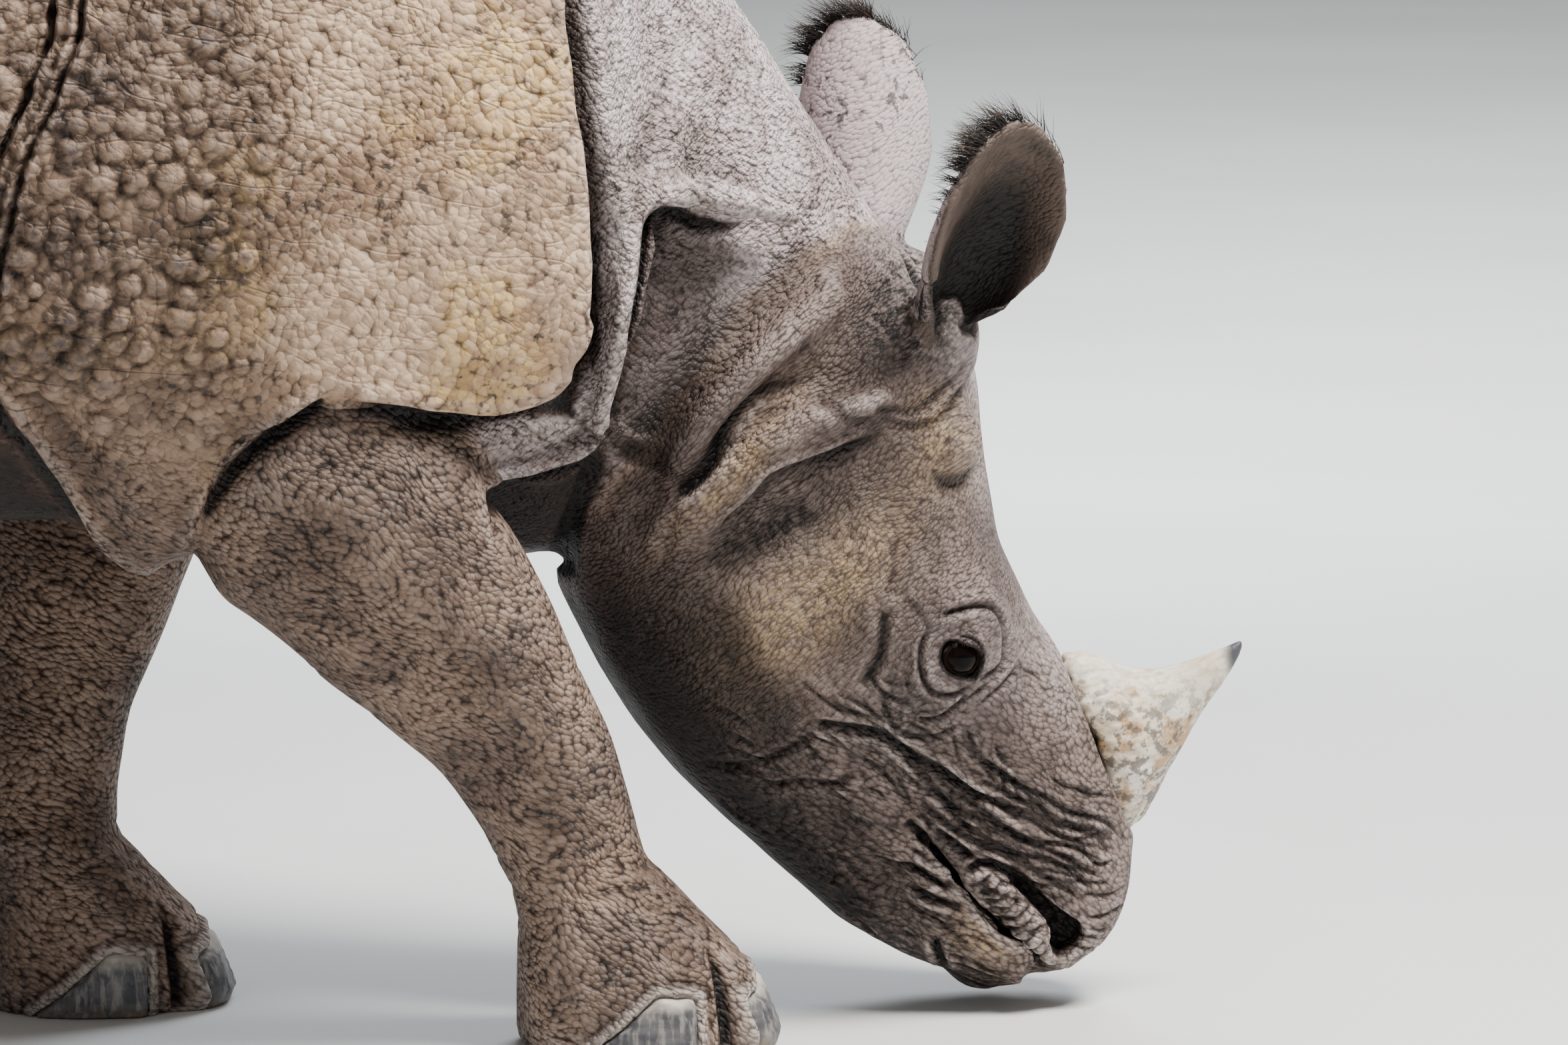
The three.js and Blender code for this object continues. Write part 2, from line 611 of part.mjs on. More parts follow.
// Trunk.
place('shoulder_plate', shoulderPlate(0), HIDE);
place('barrel', barrel, HIDE);
place('rump_plate', rumpPlate(0), HIDE);
place('groin', groin, DARK_HIDE);
const tailRoom = rumpPlate(GAP);
place('tail', tail.subtract(tailRoom), HIDE);
place('tail_tuft', tuft, DARK_HIDE);

// Legs, each cut by the plate and the trunk above it, then its foot and three nails.
const trunkRoom = joined(trunk(GAP), neckBody(GAP), girdle(GAP));
const LEGS = [
  ['right_fore', rightForeLeg(), shoulderPlate(GAP), FORE_FOOT, RIGHT_FORE_X, -FRONT_TRACK / 2],
  ['left_fore', leftForeLeg(), shoulderPlate(GAP), FORE_FOOT, LEFT_FORE_X, FRONT_TRACK / 2],
  ['right_hind', rightHindLeg(), tailRoom, HIND_FOOT, RIGHT_HIND_X, -HIND_TRACK / 2],
  ['left_hind', leftHindLeg(), tailRoom, HIND_FOOT, LEFT_HIND_X, HIND_TRACK / 2],
];
for (const [name, shape, plateRoom, size, x, y] of LEGS) {
  const aboveAnkle = block(-3000, 500, -900, 900, size.ankle + GAP, 2000);
  place(`${name}_leg`, without(shape, plateRoom, trunkRoom).intersect(aboveAnkle), HIDE);
  const toes = Object.entries(TOE_ANGLES);
  const rooms = toes.map(([, angle]) => nailRoom(size, x, y, angle, GAP));
  place(`${name}_foot`, without(foot(size, x, y), ...rooms), HIDE);
  for (const [toe, angle] of toes) {
    const nail = foot(size, x, y, NAIL_STANDS).intersect(nailRoom(size, x, y, angle));
    place(`${name}_nail_${toe}`, nail, NAIL);
  }
}

// The group's origin is on the ground under the middle of the animal.
const reach = new THREE.Box3().setFromObject(rhinoceros);
const middle = reach.getCenter(new THREE.Vector3());
rhinoceros.position.set(-middle.x, -middle.y, -reach.min.z);

export default rhinoceros;
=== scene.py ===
# A greater one-horned rhinoceros, grazing with its head low: a still, life-size adult.
# Metres, +X towards the head, +Y to the animal's left, +Z up, with the ground at z = 0.

import json
import math
import random
import bmesh
import bpy
import numpy as np
from mathutils import Matrix, Vector, noise
from mathutils.bvhtree import BVHTree
from mathutils.kdtree import KDTree


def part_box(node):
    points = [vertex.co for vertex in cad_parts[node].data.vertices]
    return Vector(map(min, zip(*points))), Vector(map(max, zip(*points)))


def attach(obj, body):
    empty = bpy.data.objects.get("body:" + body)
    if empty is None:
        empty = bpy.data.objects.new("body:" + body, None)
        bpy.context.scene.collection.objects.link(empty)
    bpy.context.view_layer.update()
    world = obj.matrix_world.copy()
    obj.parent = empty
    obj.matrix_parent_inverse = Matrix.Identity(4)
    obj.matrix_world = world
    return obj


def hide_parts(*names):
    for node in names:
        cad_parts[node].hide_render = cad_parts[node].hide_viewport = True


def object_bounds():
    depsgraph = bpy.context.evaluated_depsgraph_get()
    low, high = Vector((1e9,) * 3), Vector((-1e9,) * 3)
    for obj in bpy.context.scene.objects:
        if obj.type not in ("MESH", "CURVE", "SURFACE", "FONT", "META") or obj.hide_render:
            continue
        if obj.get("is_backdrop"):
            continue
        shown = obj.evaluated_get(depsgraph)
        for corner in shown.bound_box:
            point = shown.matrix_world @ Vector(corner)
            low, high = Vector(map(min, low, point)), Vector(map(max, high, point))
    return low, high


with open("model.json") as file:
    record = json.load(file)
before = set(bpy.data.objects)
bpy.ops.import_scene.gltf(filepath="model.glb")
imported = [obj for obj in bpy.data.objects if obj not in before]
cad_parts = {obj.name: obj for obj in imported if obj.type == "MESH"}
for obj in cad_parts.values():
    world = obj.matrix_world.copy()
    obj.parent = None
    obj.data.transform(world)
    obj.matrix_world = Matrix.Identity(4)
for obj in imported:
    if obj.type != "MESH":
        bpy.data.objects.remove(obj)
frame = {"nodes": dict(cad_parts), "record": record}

solid_low, solid_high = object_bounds()

# ---- Camera ----
# A long lens at the height of a standing visitor, aimed at the lowered head from a little
# behind it, so that the head and the fore quarters fill the view.
VIEW_FROM_HORN = 0.487
VIEW_HEIGHT = 0.515
VIEW_DISTANCE = 9.0
VIEW_TURN = math.radians(-7)
VIEW_TILT = math.radians(8)
view_x = solid_high.x - VIEW_FROM_HORN
view_line = Vector((math.sin(VIEW_TURN) * math.cos(VIEW_TILT),
                    -math.cos(VIEW_TURN) * math.cos(VIEW_TILT),
                    math.sin(VIEW_TILT)))
camera_data = bpy.data.cameras.new("camera")
camera_data.lens = 199.2
camera_data.sensor_width = 36
camera_data.clip_end = 200
camera = bpy.data.objects.new("camera", camera_data)
camera.location = Vector((view_x, 0, VIEW_HEIGHT)) + view_line * VIEW_DISTANCE
camera.rotation_euler = view_line.to_track_quat("Z", "Y").to_euler()
bpy.context.collection.objects.link(camera)
bpy.context.scene.camera = camera

# ---- Studio ----
# A pale, seamless floor under one broad soft light overhead and in front, a weak fill from
# the camera's side, a cool rim from behind, and one more light on the floor far behind.


class Shade:
    """A shader socket that can be summed, so that shader maths reads as plain sums."""

    def __init__(self, tree, socket=None):
        self.tree = tree
        self.socket = socket

    def node(self, kind, settings, inputs, output=0):
        """Adds a node: its settings first, then the values or links of its sockets."""
        made = self.tree.nodes.new(kind)
        for name, value in settings.items():
            setattr(made, name, value)
        for name, value in inputs.items():
            if isinstance(value, Shade):
                self.tree.links.new(value.socket, made.inputs[name])
            else:
                made.inputs[name].default_value = value
        return Shade(self.tree, made.outputs[output])

    def maths(self, operation, *values):
        return self.node("ShaderNodeMath", {"operation": operation}, dict(enumerate(values)))

    def __add__(self, other):
        return self.maths("ADD", self, other)

    def __sub__(self, other):
        return self.maths("SUBTRACT", self, other)

    def __mul__(self, other):
        return self.maths("MULTIPLY", self, other)

    def __rsub__(self, other):
        return self.maths("SUBTRACT", other, self)

    __radd__ = __add__
    __rmul__ = __mul__

    def power(self, exponent):
        return self.maths("POWER", self, exponent)

    def step(self, low, high):
        """0 at low, 1 at high and a smooth step between."""
        settings = {"interpolation_type": "SMOOTHSTEP"}
        inputs = {"Value": self, "From Min": low, "From Max": high}
        return self.node("ShaderNodeMapRange", settings, inputs)

    def mix(self, first, second):
        """The first colour where this is 0 and the second where it is 1."""
        inputs = {0: self, 6: first, 7: second}
        return self.node("ShaderNodeMix", {"data_type": "RGBA"}, inputs, output=2)

    def tinted(self, colour, factor):
        """This colour, multiplied by another by some factor."""
        settings = {"data_type": "RGBA", "blend_type": "MULTIPLY"}
        return self.node("ShaderNodeMix", settings, {0: factor, 6: self, 7: colour}, output=2)

    def moved(self, scale=1.0, offset=(0, 0, 0)):
        """This vector, scaled and then shifted."""
        settings = {"operation": "MULTIPLY_ADD"}
        size = (scale,) * 3 if isinstance(scale, (int, float)) else scale
        return self.node("ShaderNodeVectorMath", settings, {0: self, 1: size, 2: offset})

    def noise(self, scale, detail=3, roughness=0.55):
        inputs = {"Vector": self, "Scale": scale, "Detail": detail, "Roughness": roughness}
        return self.node("ShaderNodeTexNoise", {}, inputs)

    def warped(self, scale, amount):
        """This place, pushed about by a noise."""
        inputs = {"Vector": self, "Scale": scale, "Detail": 0.0}
        push = self.node("ShaderNodeTexNoise", {}, inputs, output=1)
        centred = push.node("ShaderNodeVectorMath", {"operation": "SUBTRACT"},
                            {0: push, 1: (0.5, 0.5, 0.5)})
        return centred.node("ShaderNodeVectorMath", {"operation": "MULTIPLY_ADD"},
                            {0: centred, 1: (amount,) * 3, 2: self})


def material(name, plain):
    """A material with the plain values of its shader, and its start and its shader."""
    made = bpy.data.materials.new(name)
    made.use_nodes = True
    shader = made.node_tree.nodes["Principled BSDF"]
    for socket, value in plain.items():
        shader.inputs[socket].default_value = value
    return made, Shade(made.node_tree), shader


def feed(shader, socket, value):
    value.tree.links.new(value.socket, shader.inputs[socket])


def object_place(start):
    """The place on the object, in metres."""
    return start.node("ShaderNodeTexCoord", {}, {}, output=3)


def add_object(name, built):
    """An object in the scene, with the mesh that was built."""
    data = bpy.data.meshes.new(name)
    built.to_mesh(data)
    built.free()
    added = bpy.data.objects.new(name, data)
    bpy.context.collection.objects.link(added)
    return added


floor_material, start, shader = material("studio floor", {"Roughness": 0.9, "Specular IOR Level": 0.2})
clouds = object_place(start).noise(0.8).step(0.3, 0.7)
feed(shader, "Base Color", clouds.mix((0.62, 0.62, 0.605, 1), (0.67, 0.67, 0.66, 1)))
floor_mesh = bmesh.new()
bmesh.ops.create_circle(floor_mesh, cap_ends=True, segments=64, radius=60)
floor = add_object("studio_floor", floor_mesh)
floor.data.materials.append(floor_material)
floor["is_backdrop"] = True


def soft_light(name, power, size, colour, offset, glint=False, aim=(0, 0, 0.6)):
    """A square light at an offset from the ground below the view, aimed back at a point."""
    light = bpy.data.lights.new(name, "AREA")
    light.energy = power
    light.size = size
    light.color = colour
    lamp = bpy.data.objects.new(name, light)
    centre = Vector((view_x, 0, 0))
    lamp.location = centre + Vector(offset)
    away = lamp.location - (centre + Vector(aim))
    lamp.rotation_euler = away.to_track_quat("Z", "Y").to_euler()
    lamp.visible_glossy = glint
    bpy.context.collection.objects.link(lamp)


soft_light("key", 640, 1.7, (1.0, 0.97, 0.93), (1.6, -1.5, 4.6), glint=True)
soft_light("fill", 20, 3.0, (1.0, 0.95, 0.9), (-1.5, -6.0, 1.6))
soft_light("rim", 230, 2.0, (0.86, 0.92, 1.0), (1.0, 3.2, 3.4))
soft_light("backdrop", 1100, 6.0, (0.95, 0.97, 1.0), (2.0, 4.5, 5.0), aim=(3.0, 14.0, 0))
world = bpy.data.worlds.new("studio")
bpy.context.scene.world = world
world.use_nodes = True
world.node_tree.nodes["Background"].inputs["Color"].default_value = (0.80, 0.83, 0.86, 1)
world.node_tree.nodes["Background"].inputs["Strength"].default_value = 0.37

# ---- Hide: the one skin ----
# Thick, nearly hairless hide over the whole animal, in one piece from the lips to the end of
# the tail. It is made over the flesh solids: they are joined and rounded, and the folds of
# the armour, the wrinkles and the lids are then pressed into it.
SKIN_GRID = 0.005
EAR_SPARE = 0.0035
SEED = 11
random.seed(SEED)
noise.seed_set(SEED)


def middle(node):
    low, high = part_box(node)
    return (Vector(low) + Vector(high)) / 2


# The head's own axes: down its length, out of its brow and out of its left cheek.
HEAD_DROP = math.radians(15.3)
left_eye, right_eye = middle("left_eye"), middle("right_eye")
head_side = (left_eye - right_eye).normalized()
head_down = Vector((math.sin(HEAD_DROP), 0, -math.cos(HEAD_DROP)))
head_down = (head_down - head_side * head_down.dot(head_side)).normalized()
head_brow = head_down.cross(head_side)
poll = (left_eye + right_eye) / 2 - 0.367 * head_down + 0.073 * head_brow
EYE_RADIUS = 0.022

slot_of = {part["node"]: part["material_slot"] for part in frame["record"]["subparts"]}
flesh = [name for name in frame["nodes"] if slot_of[name] == "skin"]
solids = bmesh.new()
part_of_face = []
for number, name in enumerate(flesh):
    old = len(solids.verts)
    solids.from_mesh(frame["nodes"][name].data)
    part_of_face += [number] * (len(solids.faces) - len(part_of_face))
    if name.endswith("ear"):
        # A thin edge is lost in the even squares, so the ears go in a little thicker.
        solids.normal_update()
        solids.verts.ensure_lookup_table()
        for vert in solids.verts[old:]:
            vert.co += vert.normal * EAR_SPARE
solid_tree = BVHTree.FromBMesh(solids)
# The lips meet: the gap behind them is filled, and the line of the mouth is pressed in later.
lips = Matrix.Translation(poll + head_down * 0.700 - head_brow * 0.088)
lips @= Matrix.Rotation(-HEAD_DROP - math.radians(30), 4, "Y") @ Matrix.Diagonal((0.035, 0.072, 0.085, 1))
bmesh.ops.create_icosphere(solids, subdivisions=3, radius=1, matrix=lips)
for eye, out in ((right_eye, -1), (left_eye, 1)):
    # The sockets are filled here, and the lids are shaped over the filling further on.
    filling = Matrix.Translation(eye - head_side * out * 0.006)
    bmesh.ops.create_icosphere(solids, subdivisions=3, radius=EYE_RADIUS + 0.004, matrix=filling)
skin = add_object("skin", solids)


def settle(obj):
    """Makes an object's modifiers part of its mesh."""
    graph = bpy.context.evaluated_depsgraph_get()
    made = bpy.data.meshes.new_from_object(obj.evaluated_get(graph))
    obj.modifiers.clear()
    old = obj.data
    obj.data = made
    bpy.data.meshes.remove(old)
    made.name = obj.name
    return made


def remeshed(obj, grid):
    """Makes one closed surface of an object's solids, in even squares."""
    even = obj.modifiers.new("even", "REMESH")
    even.mode = "VOXEL"
    even.voxel_size = grid
    return settle(obj)


def read(mesh):
    """The mesh's points, the direction that the surface faces at each, and its edges."""
    points = np.empty(len(mesh.vertices) * 3, np.float32)
    mesh.vertices.foreach_get("co", points)
    facing = np.empty(len(mesh.vertices) * 3, np.float32)
    mesh.vertex_normals.foreach_get("vector", facing)
    edges = np.empty(len(mesh.edges) * 2, np.int32)
    mesh.edges.foreach_get("vertices", edges)
    return points.reshape(-1, 3).astype(float), facing.reshape(-1, 3).astype(float), edges.reshape(-1, 2)


def write(mesh, points):
    mesh.vertices.foreach_set("co", points.astype(np.float32).ravel())
    mesh.update()


def ease(values, low, high):
    """0 at low, 1 at high and a smooth step between."""
    ramp = np.clip((values - low) / (high - low), 0, 1)
    return ramp * ramp * (3 - 2 * ramp)


def nearest_parts(points):
    """The number of the flesh solid that lies nearest to each point."""
    return np.array([part_of_face[solid_tree.find_nearest(Vector(point))[2]] for point in points])


def averaged(values, edges, share, steps):
    """Moves each value towards the mean of its neighbours, by its share, again and again."""
    ends = np.concatenate((edges[:, 0], edges[:, 1]))
    others = np.concatenate((edges[:, 1], edges[:, 0]))
    count = np.maximum(np.bincount(ends, minlength=len(values)), 1)
    columns = [column.copy() for column in values.T]
    for _ in range(steps):
        for column in columns:
            mean = np.bincount(ends, weights=column[others], minlength=len(column)) / count
            column += share * (mean - column)
    return np.stack(columns, axis=1)


mesh = remeshed(skin, SKIN_GRID)
points, facing, edges = read(mesh)

# How far each part is rounded off, in metres: broad bodies most and thin edges least.
ROUNDING = {
    "head": 0.014, "lower_jaw": 0.010, "ear": 0.008, "neck": 0.020, "chest": 0.026,
    "shoulder_plate": 0.040, "barrel": 0.045, "rump_plate": 0.045, "groin": 0.03,
    "tail": 0.006, "leg": 0.022, "foot": 0.008,
}
rounding_of = [next(size for part, size in ROUNDING.items() if name.endswith(part)) for name in flesh]
part_of = nearest_parts(points)


def belongs(*endings, steps=12):
    """1 on the parts whose names end so, 0 elsewhere, with a soft edge."""
    chosen = np.array([name.endswith(endings) for name in flesh])[part_of].astype(float)
    return averaged(chosen[:, None], edges, 0.9, steps)[:, 0]


plate = belongs("shoulder_plate", "rump_plate", steps=30)
rounding = averaged(np.array(rounding_of)[part_of][:, None], edges, 0.9, 24)[:, 0]
rounding *= 1 - 0.75 * ease(1 - np.abs(2 * plate - 1), 0.15, 0.9)
turns = (rounding / SKIN_GRID) ** 2 / 0.45
steps = int(turns.max())
grounded = points[:, 2] < 0.003
points = averaged(points, edges, np.where(grounded, 0, 0.9 * turns / steps), steps)
write(mesh, points)
points, facing, edges = read(mesh)
# Rounding draws a thin part in, and this gives it its girth back.
girth = 0.0012 + 0.003 * belongs("leg", steps=20) - 0.001 * belongs("ear")
points += facing * (girth * ~grounded)[:, None]
write(mesh, points)

# It also draws in the free edges of the shoulder plates, which hang over what lies behind.
along, up = points[:, 0] - view_x, points[:, 2]
plate = belongs("shoulder_plate", steps=3) * (np.abs(points[:, 1]) > 0.1)
points[:, 0] += 0.020 * plate * ease(along, -0.37, -0.275) * ease(up, 0.66, 0.72)
points[:, 2] -= 0.014 * plate * (1 - ease(up, 0.70, 0.79)) * ease(along, -0.66, -0.55)
write(mesh, points)

# The head and the shoulders' knobs get squares of half the size, and the lids of a quarter.
FINE_PLACES = (
    (0.30, [poll + head_down * 0.22 - head_brow * 0.1, poll + head_down * 0.5 - head_brow * 0.1]),
    (0.24, [Vector((view_x - 0.70, -0.42, 0.92)), Vector((view_x - 0.70, 0.42, 0.92))]),
    (0.075, [right_eye, left_eye]),
)
fine = bmesh.new()
fine.from_mesh(mesh)
for reach, centres in FINE_PLACES:
    near = {vert for vert in fine.verts if any((vert.co - centre).length < reach for centre in centres)}
    cut = [edge for edge in fine.edges if edge.verts[0] in near and edge.verts[1] in near]
    bmesh.ops.subdivide_edges(fine, edges=cut, cuts=1, use_grid_fill=True)
fine.to_mesh(mesh)
fine.free()
points, facing, edges = read(mesh)
part_of = nearest_parts(points)
on_head = belongs("head", "lower_jaw", "ear")
points = averaged(points, edges, 0.8 * on_head, 5)
write(mesh, points)
points, facing, edges = read(mesh)
broad = averaged(facing, edges, 0.9, 14)
broad /= np.linalg.norm(broad, axis=1)[:, None]
print("skin points", len(points))

# Places on the animal's side, along and up, and on the head's side, down it and out of it.
along, up = points[:, 0] - view_x, points[:, 2]
flank = ease(np.abs(points[:, 1]), 0.06, 0.14) * (1 - belongs("head", "lower_jaw", "ear", steps=3))
from_poll = points - np.array(poll)
down, brow, out = (from_poll @ np.array(axis) for axis in (head_down, head_brow, head_side))
cheek = ease(np.abs(broad @ np.array(head_side)), 0.15, 0.5)
cheek *= belongs("head", "lower_jaw", "neck", steps=4)
relief = np.zeros(len(points))
# Painted shade, 0 to 1: darkness painted into creases, grooves, clefts and hollows, where shade falls.
gloom = np.zeros(len(points))
ear_opening = {"right_ear": Vector((0.3, -0.95, 0)), "left_ear": Vector((0.25, 0.97, 0))}
inner = sum(belongs(name, steps=1) * ease(facing @ np.array(way.normalized()), 0.0, 0.3)
            for name, way in ear_opening.items())
scoop = np.zeros(len(points))
for name in ear_opening:
    ear_low, ear_high = (np.array(corner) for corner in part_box(name))
    ear_along, _, ear_up = ((points - ear_low) / (ear_high - ear_low)).T
    oval = np.hypot((ear_along - 0.30 - 0.42 * ear_up) / 0.27, (ear_up - 0.34) / 0.40)
    scoop += (1 - ease(oval, 0.65, 1.40)) * inner * belongs(name, steps=1)
relief -= 0.010 * scoop
wander = np.array([noise.noise_vector(Vector(point) * 22) for point in points]) * 0.0035
lumps = np.array([noise.noise(Vector(point) * 14) for point in points])


def smooth_line(corners, steps=6):
    """A curve through the corners."""
    ends = [2 * np.subtract(corners[0], 0) - corners[1], 2 * np.subtract(corners[-1], 0) - corners[-2]]
    knots = np.array([ends[0], *corners, ends[1]], float)
    line = []
    for before, first, second, after in zip(knots, knots[1:], knots[2:], knots[3:]):
        for step in range(steps):
            t = step / steps
            line.append(0.5 * (2 * first + (second - before) * t
                               + (2 * before - 5 * first + 4 * second - after) * t ** 2
                               + (3 * first - before - 3 * second + after) * t ** 3))
    return np.array([*line, knots[-2]])


def near_line(u, v, line):
    """How far each place is from a line, on which side, and how far along it."""
    best = np.full(len(u), 1e9)
    side = np.zeros(len(u))
    run = np.zeros(len(u))
    lengths = np.linalg.norm(np.diff(line, axis=0), axis=1)
    before = 0.0
    for (first_u, first_v), (second_u, second_v), length in zip(line, line[1:], lengths):
        go_u, go_v = (second_u - first_u) / length, (second_v - first_v) / length
        reach = np.clip((u - first_u) * go_u + (v - first_v) * go_v, 0, length)
        off_u, off_v = u - first_u - reach * go_u, v - first_v - reach * go_v
        distance = np.hypot(off_u, off_v)
        closer = distance < best
        best = np.where(closer, distance, best)
        side = np.where(closer, np.sign(go_u * off_v - go_v * off_u), side)
        run = np.where(closer, (before + reach) / lengths.sum(), run)
        before += length
    return best, side, run


def enclosed(u, v, line):
    """Whether each place lies within a closed line."""
    inside = np.zeros(len(u), bool)
    for (first_u, first_v), (second_u, second_v) in zip(line, line[1:]):
        spans = (first_v > v) != (second_v > v)
        with np.errstate(divide="ignore", invalid="ignore"):
            cross = first_u + (v - first_v) * (second_u - first_u) / (second_v - first_v)
        inside ^= spans & (u < cross)
    return inside


def press(place, corners, depth, width, dark=0.7, lip=0.35, spread=1.0, fade=0.12):
    """Presses a crease along a curve and paints shade into it. It has a raised lip, and spreads gently on
    its left.
    """
    u, v, strength = place
    line = smooth_line(corners)
    margin = 5 * width * spread + 0.01
    low_u, low_v = line.min(axis=0) - margin
    high_u, high_v = line.max(axis=0) + margin
    here = np.flatnonzero((strength > 0.01) & (u > low_u) & (u < high_u)
                          & (v > low_v) & (v < high_v))
    distance, side, run = near_line(u[here] + wander[here, 0], v[here] + wander[here, 1], line)
    fade_in, fade_out = fade if isinstance(fade, tuple) else (fade, fade)
    ends = strength[here] * ease(run, 0, fade_in) * (1 - ease(run, 1 - fade_out, 1))
    gentle = side > 0
    groove = np.where(gentle & (spread > 1), np.exp(-distance / (0.8 * width * spread)),
                      np.exp(-(distance / width) ** 2)) * ends
    swell = np.exp(-((distance - 2.3 * width) / (1.3 * width)) ** 2) * ends
    relief[here] += depth * (lip * np.where(gentle & (spread > 1), 0, 1) * swell - groove)
    shade_width = width * np.where(gentle, 1 + 0.3 * (spread - 1), 1)
    shade = np.minimum(1, 1.5 * np.exp(-(distance / shade_width) ** 2))
    gloom[here] = np.maximum(gloom[here], dark * shade * ends)


def sink(place, corners, depth, bank, dark):
    """Sinks, or with a negative depth raises, the inside of a closed outline, and paints shade of the
    given darkness into it.
    """
    u, v, strength = place
    line = smooth_line([*corners, corners[0]], 4)
    low_u, low_v = line.min(axis=0)
    high_u, high_v = line.max(axis=0)
    here = np.flatnonzero((strength > 0.01) & (u > low_u) & (u < high_u)
                          & (v > low_v) & (v < high_v))
    distance = near_line(u[here], v[here], line)[0] * enclosed(u[here], v[here], line)
    amount = ease(distance, 0, bank) * strength[here]
    relief[here] -= depth * amount
    gloom[here] = np.maximum(gloom[here], dark * amount)
    return here, amount


# The armour: plates with free edges that lie over deep grooves, with painted shade in the grooves.
side_view = (along, up, flank)
right_side = (along, up, flank * (points[:, 1] < 0))
left_side = (along, up, flank * (points[:, 1] > 0))
all_round = (along, up, 1 - belongs("leg", "foot", steps=4))
press(side_view, [(-0.252, 1.36), (-0.246, 1.08), (-0.224, 0.9), (-0.22, 0.8), (-0.228, 0.745),
      (-0.25, 0.705)], 0.04, 0.009, dark=1.0, lip=0.1, fade=(0.38, 0.04))
press(side_view, [(-0.222, 0.77), (-0.24, 0.708), (-0.278, 0.676), (-0.345, 0.668), (-0.437, 0.682),
      (-0.53, 0.712)], 0.028, 0.007, dark=1.0, lip=0.3, spread=3, fade=(0.04, 0.45))
press(right_side, [(-0.49, 0.7), (-0.569, 0.656), (-0.615, 0.61), (-0.64, 0.54)], 0.018, 0.005, dark=0.6,
      spread=3, fade=(0.12, 0.6))
press(left_side, [(-0.56, 0.71), (-0.68, 0.67), (-0.75, 0.61), (-0.79, 0.54)], 0.018, 0.005, dark=0.6,
      spread=3, fade=(0.12, 0.6))
for offset in (0, -0.028):
    press(side_view, [(-0.715 + offset, 1.35), (-0.737 + offset, 1.1), (-0.762 + offset, 1.015),
          (-0.789 + offset, 0.955), (-0.814 + offset, 0.87), (-0.826 + offset, 0.78)], 0.007, 0.003,
          dark=0.32, lip=0.6, fade=0.1)
# Behind the elbow a fold runs up from the leg, and the belly draws in under it, painted in shade.
LEFT_ELBOW_BACK = 0.16
for side, shift in ((right_side, 0.0), (left_side, -LEFT_ELBOW_BACK)):
    press(side, [(-0.66 + shift, 0.53), (-0.7 + shift, 0.555), (-0.742 + shift, 0.585),
          (-0.797 + shift, 0.655), (-0.821 + shift, 0.69), (-0.86 + shift, 0.74)], 0.024, 0.006,
          dark=1.0, lip=0.3, spread=6, fade=(0.03, 0.35))
    beneath = (along, up, all_round[2] * np.where(side[2] > 0, 1, flank == 0))
    sink(beneath, [(-0.64 + shift, 0.52), (-0.742 + shift, 0.593), (-0.797 + shift, 0.663),
         (-0.85 + shift, 0.69), (-1.02 + shift, 0.6), (-1.06 + shift, 0.46), (-0.64 + shift, 0.44)],
         0.012, 0.05, 0.8)
press(side_view, [(-1.69, 1.36), (-1.672, 1.05), (-1.665, 0.82), (-1.72, 0.72), (-1.85, 0.688),
      (-2.03, 0.676), (-2.21, 0.712)], 0.024, 0.008, dark=0.7, lip=0.2)
press(side_view, [(-1.7, 1.02), (-1.85, 0.985), (-2.05, 0.975), (-2.25, 1.0)], 0.006, 0.007, dark=0.22,
      fade=0.4)

# The flap that hangs before the plate, like a tongue, and the hollow between it and the cheek, painted in
# shade.
press(all_round, [(-0.105, 0.86), (-0.125, 0.8), (-0.14, 0.73), (-0.16, 0.66), (-0.185, 0.6)], 0.002,
      0.056, dark=0.46, lip=0, fade=(0.1, 0.02))
press(side_view, [(-0.14, 0.872), (-0.16, 0.866), (-0.17, 0.849), (-0.176, 0.802), (-0.183, 0.763),
      (-0.189, 0.723), (-0.197, 0.69), (-0.202, 0.655), (-0.206, 0.634)], 0.026, 0.005, dark=1.0,
      lip=0.2, spread=7, fade=0.04)
press(side_view, [(-0.03, 0.858), (-0.069, 0.846), (-0.09, 0.848), (-0.114, 0.855), (-0.147, 0.869),
      (-0.163, 0.864)], 0.014, 0.004, dark=0.85, lip=0.4, spread=5, fade=(0.7, 0.05))
press(side_view, [(-0.205, 0.9), (-0.15, 0.893), (-0.1, 0.877), (-0.06, 0.862)], -0.008, 0.013, dark=0,
      lip=0.2)
sink(side_view, [(-0.222, 0.74), (-0.226, 0.7), (-0.232, 0.667), (-0.24, 0.652), (-0.29, 0.655),
     (-0.33, 0.664), (-0.27, 0.69), (-0.238, 0.725)], 0.012, 0.01, 1.0)
inside, amount = sink(side_view, [(-0.215, 0.91), (-0.221, 0.86), (-0.222, 0.8), (-0.223, 0.742),
    (-0.228, 0.698), (-0.23, 0.667), (-0.225, 0.64), (-0.207, 0.632), (-0.201, 0.655), (-0.195, 0.692),
    (-0.188, 0.723), (-0.182, 0.763), (-0.175, 0.802), (-0.168, 0.849), (-0.16, 0.89)], -0.011, 0.018, 0)
# The raised flap is cleared of most of the painted shade.
gloom[inside] *= 1 - 0.9 * amount
